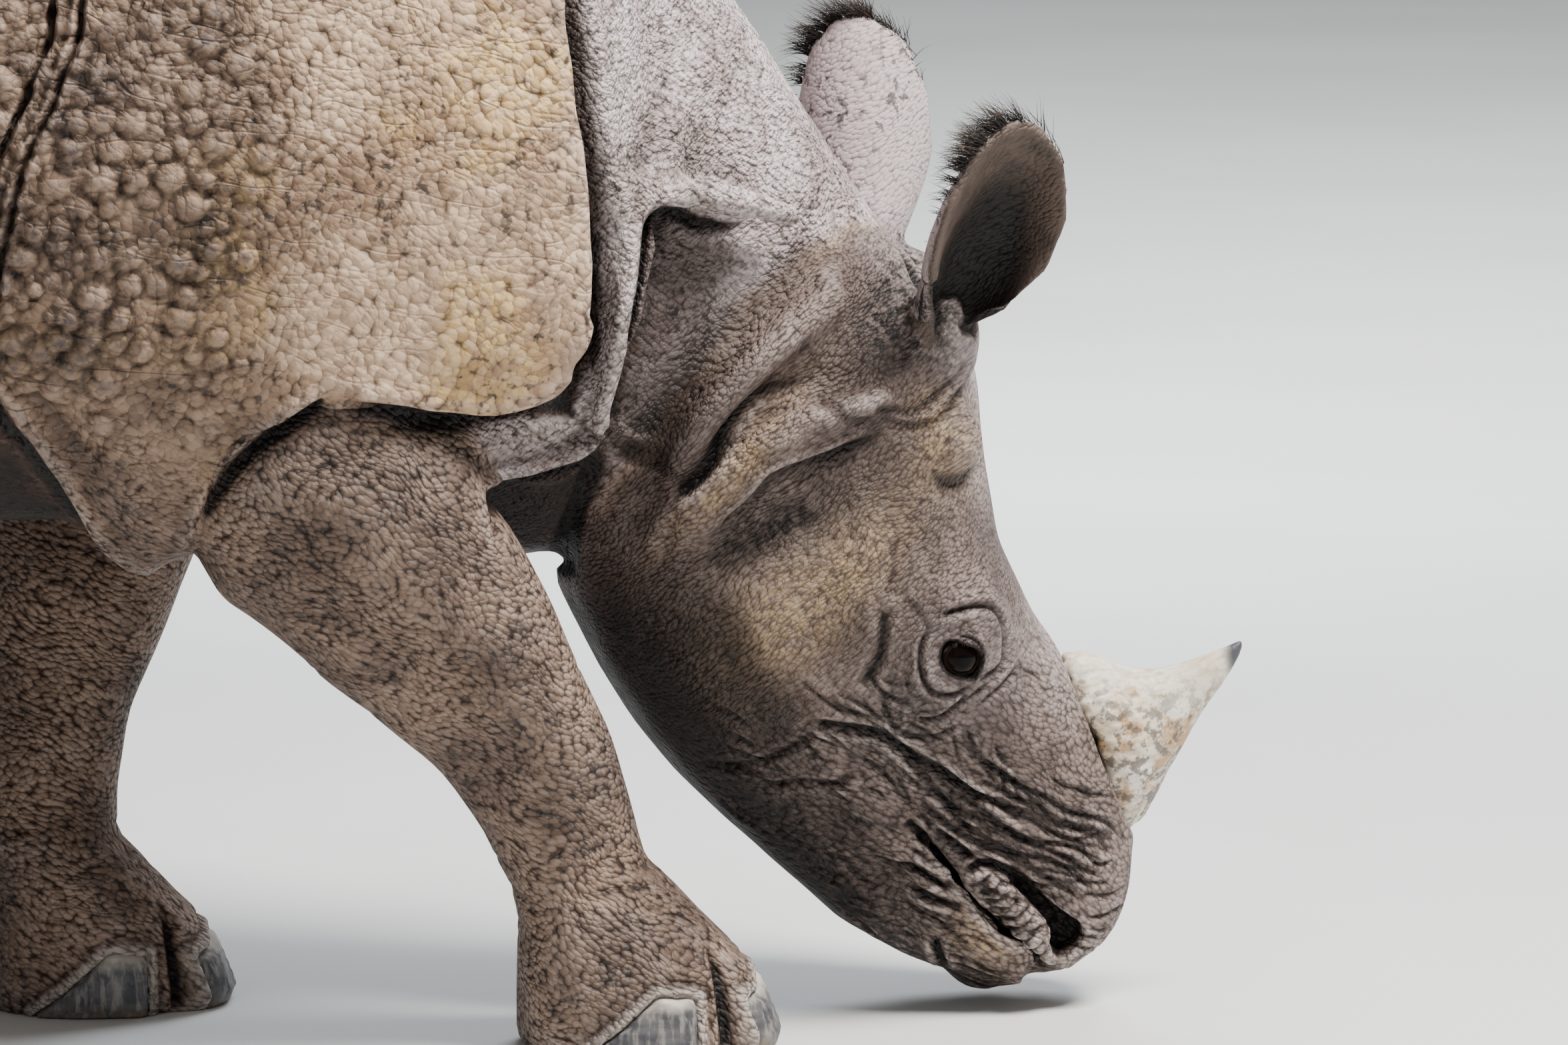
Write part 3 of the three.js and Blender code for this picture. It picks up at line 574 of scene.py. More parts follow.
# Under the flap a second fold crosses the throat, and all beneath it is in deep shade.
press(side_view, [(-0.198, 0.64), (-0.21, 0.622), (-0.236, 0.609), (-0.264, 0.601), (-0.291, 0.594),
      (-0.335, 0.588)], 0.016, 0.0045, dark=1.0, lip=0.5, spread=8, fade=0.03)
sink(all_round, [(-0.345, 0.592), (-0.291, 0.594), (-0.262, 0.601), (-0.236, 0.608), (-0.203, 0.63),
     (-0.185, 0.6), (-0.197, 0.566), (-0.216, 0.53), (-0.222, 0.46), (-0.32, 0.45), (-0.33, 0.53)],
     0.004, 0.022, 0.8)
press(all_round, [(-0.18, 0.69), (-0.192, 0.65), (-0.203, 0.615), (-0.221, 0.566), (-0.236, 0.516),
      (-0.24, 0.47)], 0.012, 0.009, dark=1.0, lip=0, fade=(0.3, 0.02))

# The heavy folds of the cheek, and the swellings between them.
face = (down, brow, cheek)
press(face, [(0.123, -0.318), (0.112, -0.289), (0.092, -0.262), (0.066, -0.234), (0.051, -0.208),
      (0.044, -0.175), (0.043, -0.12)], 0.015, 0.0045, dark=0.62, lip=0.3, spread=5, fade=(0.1, 0.5))
press(face, [(0.116, -0.066), (0.121, -0.116), (0.124, -0.16), (0.124, -0.204), (0.144, -0.236),
      (0.174, -0.284), (0.213, -0.319)], 0.011, 0.0045, dark=0.5, lip=0.3, spread=6, fade=(0.25, 0.5))
press(face, [(-0.002, -0.12), (0.012, -0.15), (0.03, -0.18), (0.046, -0.2)], 0.006, 0.01, dark=0.25,
      fade=0.3)
press(face, [(0.211, -0.303), (0.195, -0.26), (0.164, -0.179)], 0.006, 0.018, dark=0.3, lip=0.2)
press(face, [(-0.05, -0.07), (-0.033, -0.109), (-0.003, -0.178), (0.018, -0.222), (0.06, -0.275),
      (0.108, -0.33)], -0.014, 0.018, dark=0)
press(face, [(0.082, -0.06), (0.076, -0.143), (0.082, -0.2), (0.092, -0.243), (0.122, -0.292),
      (0.15, -0.33), (0.19, -0.362)], -0.012, 0.013, dark=0)
press(face, [(0.08, -0.105), (0.105, -0.06), (0.098, -0.015), (0.075, 0.02)], 0.004, 0.005, dark=0.3)
press(face, [(0.1, -0.095), (0.122, -0.055), (0.115, -0.01), (0.09, 0.028)], 0.004, 0.005, dark=0.35)
press(face, [(0.06, -0.15), (0.085, -0.125), (0.1, -0.095)], 0.004, 0.006, dark=0.3)
press(face, [(0.165, 0.028), (0.19, 0.0), (0.192, -0.035), (0.17, -0.065)], 0.006, 0.011, dark=0.4,
      fade=0.3)
relief += 0.008 * np.exp(-(np.hypot(down - 0.150, brow + 0.022) / 0.032) ** 2) * cheek

# The ears narrow to a trumpet, and its mouth runs down into the head as a cleft painted in shade.
for eye_side, (root_down, root_brow) in ((-1, (0.045, -0.008)), (1, (0.020, -0.040))):
    ear_side = (down, brow, (1 - flank) * (out * eye_side > 0.02))
    press(ear_side, [(root_down - 0.075, root_brow + 0.004), (root_down - 0.035, root_brow + 0.002),
          (root_down, root_brow)], 0.014, 0.009, dark=1.0, lip=0.1, fade=(0.02, 0.4))

# Finer folds between the eye, the mouth and the cheek.
for curve, depth, width, dark, fade in (
        ([(0.291, -0.134), (0.337, -0.155), (0.369, -0.181)], 0.005, 0.0055, 0.45, 0.12),
        ([(0.222, -0.105), (0.252, -0.117), (0.287, -0.131)], 0.003, 0.007, 0.2, 0.12),
        ([(0.286, -0.117), (0.305, -0.107), (0.337, -0.092)], 0.002, 0.003, 0.2, 0.4),
        ([(0.357, -0.167), (0.37, -0.15), (0.382, -0.112)], 0.002, 0.0025, 0.3, 0.4),
        ([(0.379, -0.163), (0.424, -0.154), (0.441, -0.123), (0.438, -0.088)], 0.0035, 0.003, 0.4, 0.12),
        ([(0.387, -0.249), (0.418, -0.18), (0.446, -0.156), (0.487, -0.123), (0.545, -0.079)], 0.007,
         0.005, 0.6, 0.12),
        ([(0.45, -0.155), (0.506, -0.131), (0.567, -0.103)], 0.005, 0.0045, 0.5, 0.12),
        ([(0.532, -0.165), (0.553, -0.158), (0.573, -0.15)], 0.005, 0.0045, 0.6, 0.12),
        ([(0.46, -0.092), (0.495, -0.071), (0.505, -0.065)], 0.003, 0.004, 0.4, 0.12),
        ([(0.422, -0.358), (0.426, -0.308), (0.411, -0.252), (0.395, -0.237)], 0.004, 0.005, 0.4, 0.12),
        ([(0.46, -0.309), (0.46, -0.265), (0.469, -0.226), (0.456, -0.207)], 0.004, 0.005, 0.4, 0.12)):
    press(face, curve, depth, width, dark=dark, fade=fade)

# The mouth, closed, the nostril over it and the lip's own folds, with painted shade in the line of the
# mouth and in the nostril.
press(face, [(0.532, -0.173), (0.552, -0.157), (0.584, -0.142), (0.608, -0.133), (0.639, -0.121),
      (0.671, -0.106), (0.69, -0.094), (0.706, -0.077), (0.722, -0.07), (0.745, -0.062)], 0.016, 0.0042,
      dark=1.0, lip=0.5, fade=(0.45, 0.05))
# A ringed roll of lip lies between the mouth and the nostril.
press(face, [(0.6, -0.122), (0.614, -0.113), (0.632, -0.098), (0.656, -0.084), (0.69, -0.068),
      (0.717, -0.063)], -0.009, 0.012, dark=0, lip=0)
press(face, [(0.61, -0.124), (0.602, -0.108), (0.607, -0.092), (0.622, -0.079), (0.642, -0.073)], 0.007,
      0.0035, dark=0.75, lip=0.5, fade=0.2)
LIP_RINGS = 9
for number in range(LIP_RINGS):
    share = (number + 0.5) / LIP_RINGS
    ring_down = 0.612 + 0.112 * share
    ring_brow = -0.113 + 0.050 * share ** 0.8
    press(face, [(ring_down - 0.006, ring_brow - 0.015), (ring_down + 0.003, ring_brow),
          (ring_down - 0.006, ring_brow + 0.015)], 0.0028, 0.0021, dark=0.5, lip=0.4, fade=0.25)
for line, depth in (([(0.575, -0.185), (0.589, -0.173), (0.609, -0.156), (0.629, -0.137)], 0.007),
                    ([(0.600, -0.185), (0.623, -0.167), (0.640, -0.146), (0.648, -0.126)], 0.006),
                    ([(0.545, -0.150), (0.565, -0.128), (0.590, -0.112), (0.602, -0.100)], 0.005),
                    ([(0.667, -0.168), (0.696, -0.169), (0.730, -0.164)], 0.007)):
    press(face, line, depth, 0.0035, dark=0.6, lip=0.5, fade=0.3)
# Long wrinkles sweep from under the eye over the muzzle to the nose.
LONG_WRINKLES = 11
upper_sweep = np.array([
    (0.425, -0.131), (0.492, -0.081), (0.561, -0.017), (0.604, 0.027), (0.644, 0.059)])
lower_sweep = np.array([
    (0.515, -0.161), (0.570, -0.120), (0.602, -0.088), (0.638, -0.050), (0.690, -0.005)])
for number in range(LONG_WRINKLES):
    share = (number + random.uniform(0.2, 0.8)) / LONG_WRINKLES
    sweep = upper_sweep * (1 - share) + lower_sweep * share
    first = random.choice((0, 0, 1))
    last = random.choice((3, 4, 5, 5)) if first == 0 else 5
    wobble = [(random.gauss(0, 0.0035), random.gauss(0, 0.0035)) for _ in sweep]
    press(face, (sweep + wobble)[first:last], random.uniform(0.0025, 0.0045),
          random.uniform(0.0022, 0.0032), dark=random.uniform(0.45, 0.7), lip=0.6, fade=0.2)
# Short wrinkles follow the pull of the lips over the jaw and the muzzle.
SHORT_WRINKLES = 170
for number in range(SHORT_WRINKLES):
    at_down, at_brow = random.uniform(0.36, 0.76), random.uniform(-0.36, 0.03)
    at_eye = math.hypot(at_down - 0.367, at_brow + 0.073) < 0.075
    if at_eye or at_brow > 0.0 and at_down < 0.55:
        continue
    by_mouth = 28 * math.exp(-(math.hypot(at_down - 0.47, at_brow + 0.11) / 0.09) ** 2)
    by_nose = 24 * ease(np.array(at_down), 0.58, 0.66) * ease(np.array(at_brow), -0.09, -0.03)
    tilt = math.radians(30 + by_mouth - by_nose + random.gauss(0, 9))
    go_down = math.sin(HEAD_DROP) * math.cos(tilt) + math.cos(HEAD_DROP) * math.sin(tilt)
    go_brow = math.cos(HEAD_DROP) * math.cos(tilt) - math.sin(HEAD_DROP) * math.sin(tilt)
    length, bend = random.uniform(0.018, 0.050), random.gauss(0, 0.004)
    press(face, [(at_down - go_down * length, at_brow - go_brow * length),
          (at_down - go_brow * bend, at_brow + go_down * bend),
          (at_down + go_down * length, at_brow + go_brow * length)], random.uniform(0.0012, 0.003),
          random.uniform(0.0016, 0.0024), dark=0.55, lip=0.5, fade=0.4)
sink(face, [(0.624, -0.077), (0.65, -0.059), (0.669, -0.044), (0.707, -0.015), (0.732, -0.024),
     (0.74, -0.05), (0.718, -0.057), (0.691, -0.053), (0.663, -0.066), (0.645, -0.077)], 0.022, 0.008,
     1.0)
press(face, [(0.606, -0.086), (0.624, -0.074), (0.65, -0.064), (0.69, -0.046), (0.735, -0.04)], 0.008,
      0.007, dark=1.0, fade=0.2)
# The skin rises to the rim of the horn.
horn_root = ease(brow, 0.045, 0.075) * ease(down, 0.50, 0.56) * (1 - ease(down, 0.62, 0.68)) * on_head
relief += 0.010 * horn_root * (1 - ease(np.abs(out), 0.02, 0.07))

# The eyelids: two sheets that hug the ball, with rings of creases round them. The lids lie
# level, so the head's own axes are turned back by its drop.
LEVEL_DOWN, LEVEL_BROW = 0.264, 0.9645
LID_THICKNESS = 0.0035
LID_OPENING = 1.07
for eye, hand in ((right_eye, -1), (left_eye, 1)):
    from_eye = points - np.array(eye)
    eye_down, eye_brow = from_eye @ np.array(head_down), from_eye @ np.array(head_brow)
    ahead = eye_down * LEVEL_DOWN + eye_brow * LEVEL_BROW
    above = eye_down * -LEVEL_BROW + eye_brow * LEVEL_DOWN
    depth_here = from_eye @ np.array(head_side) * hand
    radius = np.hypot(ahead, above)
    near = np.flatnonzero((radius < 0.04) & (depth_here > -0.06) & (hand * out > 0))
    lid = EYE_RADIUS + LID_THICKNESS
    over_ball = np.sqrt(lid ** 2 - np.minimum(radius[near], 0.0205) ** 2)
    hug = 1 - ease(radius[near], 0.021, 0.037)
    opening = smooth_line([(-0.019, 0.010), (-0.013, 0.017), (0, 0.0155), (0.013, 0.010), (0.019, 0.001),
                           (0.018, -0.008), (0.013, -0.021), (0.002, -0.019), (-0.012, -0.014),
                           (-0.020, -0.003), (-0.019, 0.010)], 4)
    opening *= LID_OPENING
    distance = near_line(ahead[near], above[near], opening)[0]
    signed = np.where(enclosed(ahead[near], above[near], opening), distance, -distance)
    margin = 0.0015 * np.exp(-((signed + 0.003) / 0.002) ** 2)
    target = over_ball + margin - 0.012 * ease(signed, -0.0005, 0.003)
    moved = hug * (target - depth_here[near])
    points[near] += moved[:, None] * np.array(head_side) * hand
    # A dark rim round the opening: painted shade in the gap between lid and ball, and the lids' own dark
    # wet edge.
    gloom[near] = np.maximum(gloom[near], ease(signed, -0.0050, -0.0005))
    socket = (ahead, above, cheek * (hand * out > 0) * (radius < 0.12))
    for curve, depth, width, dark, fade in (
            ([(-0.006, 0.023), (0.0075, 0.022), (0.017, 0.015), (0.021, 0.0055), (0.02, -0.0055)], 0.002,
             0.0018, 0.5, 0.12),
            ([(-0.029, 0.044), (-0.003, 0.051), (0.021, 0.051), (0.039, 0.04), (0.049, 0.0),
             (0.043, -0.014), (0.0295, -0.0205), (0.016, -0.023)], 0.006, 0.0035, 0.45, 0.12),
            ([(-0.036, 0.037), (-0.042, 0.023), (-0.044, 0.0055), (-0.041, -0.014), (-0.0295, -0.033),
             (-0.013, -0.041), (0.003, -0.036), (0.013, -0.026)], 0.005, 0.0028, 0.45, 0.12),
            ([(-0.06, -0.007), (-0.0555, -0.029), (-0.042, -0.04)], 0.002, 0.002, 0.2, 0.12),
            ([(-0.049, -0.063), (-0.034, -0.066), (-0.017, -0.062), (-0.003, -0.051), (0.0075, -0.036)],
             0.004, 0.0028, 0.35, 0.12),
            ([(-0.071, 0.081), (-0.054, 0.06), (-0.037, 0.038)], 0.002, 0.002, 0.25, 0.4),
            ([(0.057, -0.007), (0.043, -0.02), (0.013, -0.041), (-0.007, -0.056)], 0.003, 0.0025, 0.28,
             0.12),
            ([(0.066, -0.018), (0.049, -0.033), (0.032, -0.044), (0.021, -0.056)], 0.003, 0.0025, 0.28,
             0.12)):
        press(socket, curve, depth, width, dark=dark, fade=fade)
    swelling = np.exp(-(np.hypot(ahead - 0.022, above - 0.024) / 0.020) ** 2) * (hand * out > 0)
    relief += 0.005 * swelling

# Knobs, like low rivets, stand on the back of the shoulder, the rump and the thighs, with painted shade
# in a ring round each.
KNOB_SIZES = (0.006, 0.008, 0.009, 0.011, 0.013, 0.016)
KNOB_TRIES = 12000
knob = np.zeros(len(points))
shoulder = ease(-along, 0.50, 0.64) * ease(along, -0.85, -0.81) * ease(up, 0.64, 0.76) * flank
rump = ease(-along, 1.72, 1.85) * ease(up, 0.45, 0.60) * flank
rugged = (ease(-along, 0.44, 0.66) * ease(along, -1.3, -0.9) + rump) * flank
knobby = shoulder + rump * belongs("rump_plate", "leg")
knobby *= ease(lumps, -0.6, -0.1)
candidates = np.flatnonzero(knobby > 0.05)
spots = KDTree(len(candidates))
for number in candidates:
    spots.insert(points[number], number)
spots.balance()
taken = np.zeros(len(points), bool)
for number in random.sample(list(candidates), min(len(candidates), KNOB_TRIES)):
    if taken[number] or random.random() > knobby[number] ** 2:
        continue
    size = random.choice(KNOB_SIZES) * random.uniform(0.85, 1.15)
    height = size * random.uniform(0.22, 0.40)
    stretch = random.uniform(0.75, 1.0)
    slant = random.uniform(0, math.pi)
    for _, other, distance in spots.find_range(points[number], size * 1.55):
        taken[other] = True
        aside = ((points[other, 0] - points[number, 0]) * math.cos(slant)
                 + (points[other, 2] - points[number, 2]) * math.sin(slant))
        distance = math.hypot(distance, aside * (1 / stretch - 1) * 1.6)
        dome = max(0.0, 1 - (distance / size) ** 2) ** 0.8
        moat = math.exp(-((distance / size - 1.2) / 0.28) ** 2)
        relief[other] += height * (dome - 0.20 * moat)
        knob[other] = max(knob[other], dome)
        gloom[other] = max(gloom[other], 0.40 * moat)

# Loose wrinkles lie round each ankle and behind each knee, with painted shade in them.
LEGS = ("right_fore", "left_fore", "right_hind", "left_hind")
NAILS = ("left", "middle", "right")
ANKLE_WRINKLES, KNEE_WRINKLES = 17, 9
cuticle = np.zeros(len(points))
for leg in LEGS:
    foot_low, foot_high = (Vector(corner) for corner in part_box(f"{leg}_foot"))
    centre = (foot_low + foot_high) / 2
    own = belongs(f"{leg}_leg", f"{leg}_foot", steps=6)
    turn = np.arctan2(points[:, 1] - centre.y, points[:, 0] - centre.x)
    for number in range(ANKLE_WRINKLES + KNEE_WRINKLES):
        low_down = number < ANKLE_WRINKLES
        rise = random.uniform(0.10, 0.20) if low_down else random.uniform(0.20, 0.50)
        middle_turn = random.uniform(-math.pi, math.pi) if low_down else random.gauss(math.pi, 0.8)
        spread = random.uniform(0.25, 0.7)
        size = random.uniform(0.0016, 0.0038) * (1.0 if low_down else 0.45)
        off = np.cos(turn - middle_turn)
        ring = rise + 0.008 * np.sin(2 * turn + random.uniform(0, 6)) + 0.3 * wander[:, 2]
        groove = np.exp(-((up - ring) / 0.0038) ** 2) * ease(off, math.cos(spread), 1) * own
        relief -= size * groove
        gloom = np.maximum(gloom, 110 * size * groove)
    # The toes part above the gaps between the nails, and the skin swells round each nail, with painted
    # shade in the clefts and in a furrow round each nail.
    nails = [middle(f"{leg}_nail_{where}") for where in NAILS]
    turns_of = [math.atan2(nail.y - centre.y, nail.x - centre.x) for nail in nails]
    reach = np.hypot(points[:, 0] - centre.x, points[:, 1] - centre.y)
    for first, second in zip(turns_of, turns_of[1:]):
        between = math.atan2(math.sin(first) + math.sin(second), math.cos(first) + math.cos(second))
        apart = np.abs(np.arctan2(np.sin(turn - between), np.cos(turn - between))) * reach
        cleft = np.exp(-(apart / 0.006) ** 2) * ease(-up, -0.13, -0.08) * ease(up, 0.0, 0.01) * own
        relief -= 0.011 * cleft
        gloom = np.maximum(gloom, 0.8 * cleft)
    horn_of_nails = bmesh.new()
    for where in NAILS:
        horn_of_nails.from_mesh(frame["nodes"][f"{leg}_nail_{where}"].data)
    nail_tree = BVHTree.FromBMesh(horn_of_nails)
    horn_of_nails.free()
    for number in np.flatnonzero((own > 0.2) & (up < 0.16)):
        distance = nail_tree.find_nearest(Vector(points[number]))[3]
        relief[number] += 0.0045 * math.exp(-((distance - 0.007) / 0.004) ** 2)
        relief[number] -= 0.0030 * math.exp(-((distance - 0.016) / 0.003) ** 2)
        gloom[number] = max(gloom[number], 0.4 * math.exp(-((distance - 0.016) / 0.003) ** 2),
                            0.5 * math.exp(-(distance / 0.002) ** 2))
        cuticle[number] = math.exp(-((distance - 0.006) / 0.005) ** 2)

hide_lumps = 0.0025 * lumps * (1 - on_head * 0.6) * ease(up, 0.02, 0.08)
points += broad * (relief + hide_lumps)[:, None]
# The skin behind each elbow hangs in a web between the leg and the plate.
on_left = points[:, 1] > 0
web = np.exp(-((along + 0.68 + LEFT_ELBOW_BACK * on_left) / 0.085) ** 2)
web *= ease(np.abs(points[:, 1]), 0.10, 0.22)
web *= ease(up, 0.34, 0.50) * (1 - ease(up, 0.56, 0.74))
points[:, 2] = np.maximum(points[:, 2] - 0.045 * web, 0)
write(mesh, points)


def paint(mesh, name, values):
    """Keeps one number for each point of a mesh, for its material to read."""
    layer = mesh.attributes.new(name, "FLOAT", "POINT")
    layer.data.foreach_set("value", np.clip(values, 0, 1).astype(np.float32))


def patch(centre, turn, length, breadth):
    """A soft oval on the side of the head."""
    off_u, off_v = down - centre[0], brow - centre[1]
    lengthwise = off_u * math.cos(turn) + off_v * math.sin(turn)
    across = off_v * math.cos(turn) - off_u * math.sin(turn)
    return np.exp(-(lengthwise / length) ** 2 - (across / breadth) ** 2) * on_head


points, facing, edges = read(mesh)
# How hollow the skin lies at each point: the material paints shade into the hollows and a highlight onto
# the ridges.
blurred = averaged(points, edges, 0.9, 16)
hollow = np.einsum("ij,ij->i", blurred - points, broad)
hollow = averaged(hollow[:, None], edges, 0.9, 2)[:, 0]
is_ear = belongs("ear", steps=3)
legs = belongs("leg", "foot", steps=10)
below_plate = np.exp(-((along + 0.72 + LEFT_ELBOW_BACK * on_left) / 0.15) ** 2)
below_plate *= 1 - ease(up, 0.54, 0.70)
loose = np.maximum(legs, below_plate)
jowl = on_head * ease(down, 0.30, 0.46) * (1 - is_ear)
# The bald top of the head, smoother and lighter: partly paler skin, partly a painted highlight of the
# light from above; a fainter ring round each eye.
bald_and_sheen = on_head * ease(brow - 0.12 * down, -0.08, 0.04) * (1 - ease(down, 0.40, 0.52))
bald_and_sheen = np.maximum(bald_and_sheen, 0.35 * on_head * np.exp(-(np.hypot(down - 0.375, brow + 0.060) / 0.070) ** 4))
# Darker and tan ovals on the head.
darker_oval = patch((0.030, -0.075), 1.2, 0.05, 0.030)
tan = patch((0.241, -0.169), 2.1, 0.085, 0.038) + patch((0.29, -0.27), 2.1, 0.08, 0.05)
tan += patch((0.15, -0.03), 0, 0.05, 0.03)
tan += 0.9 * patch((0.110, -0.250), 2.2, 0.10, 0.016) + patch((0.690, -0.125), 0.6, 0.035, 0.022)
dark = patch((0.182, -0.228), 1.7, 0.09, 0.026) + patch((0.0, -0.045), 0, 0.04, 0.03)
dark += patch((0.42, -0.16), 1.2, 0.05, 0.05)
dark += 1.3 * patch((0.030, -0.010), 0, 0.035, 0.032)
# The underside of the head is painted in shade, in both the shade map and the dark map.
under = ease(-broad @ np.array(head_brow), -0.05, 0.6) * on_head * ease(down, 0.1, 0.3)
gloom = np.maximum(gloom, 0.5 * under * (1 - ease(down, 0.60, 0.68)))
for name, values in (
        ("gloom", gloom),
        ("hollow", 0.5 + hollow / 0.008),
        ("knob", knob),
        ("rugged", rugged),
        ("cuticle", cuticle),
        ("leg", loose),
        ("face", on_head * (1 - is_ear)),
        ("jowl", jowl),
        ("bald_and_sheen", bald_and_sheen),
        ("tan", tan),
        ("dark", np.maximum(dark, under) + 0.6 * darker_oval),
        ("neck", belongs("neck", "chest", steps=6) * ease(along, -0.55, -0.35)),
        ("ear", is_ear),
        ("inner", inner),
        ("scoop", scoop)):
    paint(mesh, name, values)

# Thinned to a workable number of triangles: the trunk most, the head least.
SKIN_TRIANGLES = 190000
bpy.context.view_layer.update()
spare = np.clip(1 - 0.9 * on_head - 0.25 * legs - 0.6 * shoulder - 0.3 * rump, 0, 1)
group = skin.vertex_groups.new(name="spare")
for level in range(11):
    group.add(np.flatnonzero(np.round(spare * 10) == level).tolist(), level / 10, "REPLACE")
thin = skin.modifiers.new("thin", "DECIMATE")
thin.ratio = SKIN_TRIANGLES / sum(len(face.vertices) - 2 for face in mesh.polygons)
thin.vertex_group = "spare"
thin.vertex_group_factor = 0.00005
thin.use_collapse_triangulate = True
mesh = settle(skin)
skin.vertex_groups.clear()
mesh.shade_smooth()

# The skin's chart: each part is laid out flat from its six sides, the head and ears larger.
CHART_GAP = 0.02
points, facing, edges = read(mesh)
way = averaged(facing, edges, 0.9, 10)
corners = np.empty(len(mesh.loops), np.int32)
mesh.loops.foreach_get("vertex_index", corners)
triangles = corners.reshape(-1, 3)
part_of = nearest_parts(points)
toward = way[triangles].sum(axis=1)
axis = np.abs(toward).argmax(axis=1)
sign = np.take_along_axis(toward, axis[:, None], 1)[:, 0] > 0
chart_name = part_of[triangles[:, 0]] * 6 + axis * 2 + sign
charts, chart_of = np.unique(chart_name, return_inverse=True)
flat = np.empty((len(triangles), 3, 2))
for number in range(3):
    kept = [other for other in range(3) if other != number]
    flat[axis == number] = points[triangles[axis == number]][:, :, kept]
detailed = [flesh[chart // 6].endswith(("head", "jaw", "ear")) for chart in charts]
enlarged = np.where(detailed, 2.0, 1.0)
flat *= enlarged[chart_of][:, None, None]
spans = []
for number in range(len(charts)):
    own = flat[chart_of == number].reshape(-1, 2)
    low = own.min(axis=0)
    flat[chart_of == number] -= low
    spans.append(own.max(axis=0) - low + CHART_GAP)
spans = np.array(spans)
sheet = math.sqrt(spans.prod(axis=1).sum())
tallest_first = np.argsort(-spans[:, 1])
while True:
    across, rise, row = 0.0, 0.0, 0.0
    corner_of = np.zeros_like(spans)
    for number in tallest_first:
        if across + spans[number, 0] > sheet:
            across, rise, row = 0.0, rise + row, 0.0
        corner_of[number] = across + CHART_GAP / 2, rise + CHART_GAP / 2
        across += spans[number, 0]
        row = max(row, spans[number, 1])
    if rise + row <= sheet and spans[:, 0].max() <= sheet:
        break
    sheet *= 1.02
flat = (flat + corner_of[chart_of][:, None, :]) / sheet
chart_layer = mesh.uv_layers.new(name="OFBake")
chart_layer.data.foreach_set("uv", flat.astype(np.float32).ravel())

skin_material, start, shader = material("hide", {"Roughness": 0.6, "Specular IOR Level": 0.35})


def painted(name):
    return start.node("ShaderNodeAttribute", {"attribute_name": name}, {}, output=2)


place = object_place(start)
gloom, knob, leg, face = painted("gloom"), painted("knob"), painted("leg"), painted("face")
jowl, bald_and_sheen, tan, dark = painted("jowl"), painted("bald_and_sheen"), painted("tan"), painted("dark")
neck, ear, inner, cuticle = painted("neck"), painted("ear"), painted("inner"), painted("cuticle")
hollow, rugged, scooped = painted("hollow"), painted("rugged"), painted("scoop")


def rotated(angle, scale, vector=place):
    """Object places, turned about the width of the animal and scaled along the new axes."""
    inputs = {"Vector": vector, "Rotation": (0, angle, 0), "Scale": tuple(1 / size for size in scale)}
    return place.node("ShaderNodeMapping", {"vector_type": "TEXTURE"}, inputs)


def creases(vector, scale, sharp, detail=2.0):
    """0 along the winding lines where a noise passes its middle, rising to 1 between them."""
    centred = vector.noise(scale, detail, 0.5) - 0.5
    return start.maths("ABSOLUTE", centred).step(0, sharp)


def pads(vector, scale):
    """Round pads of skin, 1 in their middles and near 0 in the furrows, and a tone for each."""
    inputs = {"Vector": vector, "Scale": scale}
    distance = start.node("ShaderNodeTexVoronoi", {"feature": "F1"}, inputs)
    tone = Shade(start.tree, distance.socket.node.outputs["Color"])
    return 1 - (distance * 1.3).power(2.6), tone


def blend(first, second, factor):
    """The first value where the factor is 0 and the second where it is 1."""
    return factor * (second - first) + first


bent = place.warped(18, 0.016)
grain = creases(place, 120, 0.10, 0.0)
folds = creases(rotated(0.15, (0.5, 0.5, 1.5)), 24, 0.04, 1.0)
pebbles, pebble_tone = pads(bent, 105.0)
fine_pads, fine_tone = pads(rotated(math.radians(30), (0.75, 0.9, 1.3), bent), 150.0)
cheek_pads, _ = pads(rotated(math.radians(-35), (0.62, 0.9, 1.3), bent), 215.0)
broad_noise = place.noise(9, 3)
fine_noise = place.noise(45, 1)

trunk_height = pebbles * (0.50 - 0.34 * knob) + folds * 0.22 + fine_pads * 0.14 + fine_noise * 0.6
leg_height = fine_pads * 0.78 + folds * 0.22 + pebbles * 0.22
face_height = blend(cheek_pads * 0.42, fine_pads * 0.70, jowl) + grain * 0.10
neck_height = fine_pads * 0.50 + cheek_pads * 0.36 + grain * 0.12
height = blend(trunk_height, neck_height, neck)
height = blend(height, leg_height, leg)
height = blend(height, face_height, face)
smooth_parts = start.maths("MINIMUM", bald_and_sheen * 0.75 + ear * 0.6, 1.0)
height = blend(height, cheek_pads * 0.22 + 0.4, smooth_parts)
bump = start.node("ShaderNodeBump", {}, {"Strength": 1.0, "Distance": 0.005, "Height": height})
feed(shader, "Normal", bump)

mottle = broad_noise.step(0.38, 0.62)
speckle = place.noise(80, 2, 0.6).step(0.57, 0.66) * broad_noise.step(0.62, 0.44) * (1 - 0.6 * face)
lichen = place.noise(5.5, 2).step(0.50, 0.66)
colour = mottle.mix((0.36, 0.235, 0.150, 1), (0.62, 0.445, 0.300, 1))
patchy = place.noise(95, 3, 0.65).step(0.40, 0.58)
colour = (lichen * (0.25 + 0.6 * patchy)).mix(colour, (0.64, 0.425, 0.165, 1))
colour = (rugged * 0.85).mix(colour, mottle.mix((0.10, 0.066, 0.048, 1), (0.24, 0.160, 0.112, 1)))
# The legs and the loose skin under the plates are darker: partly the skin's own colour, partly painted
# shade of the lower body.
colour = leg.mix(colour, mottle.mix((0.13, 0.085, 0.062, 1), (0.25, 0.175, 0.130, 1)))
colour = neck.mix(colour, mottle.mix((0.38, 0.315, 0.31, 1), (0.60, 0.54, 0.545, 1)))
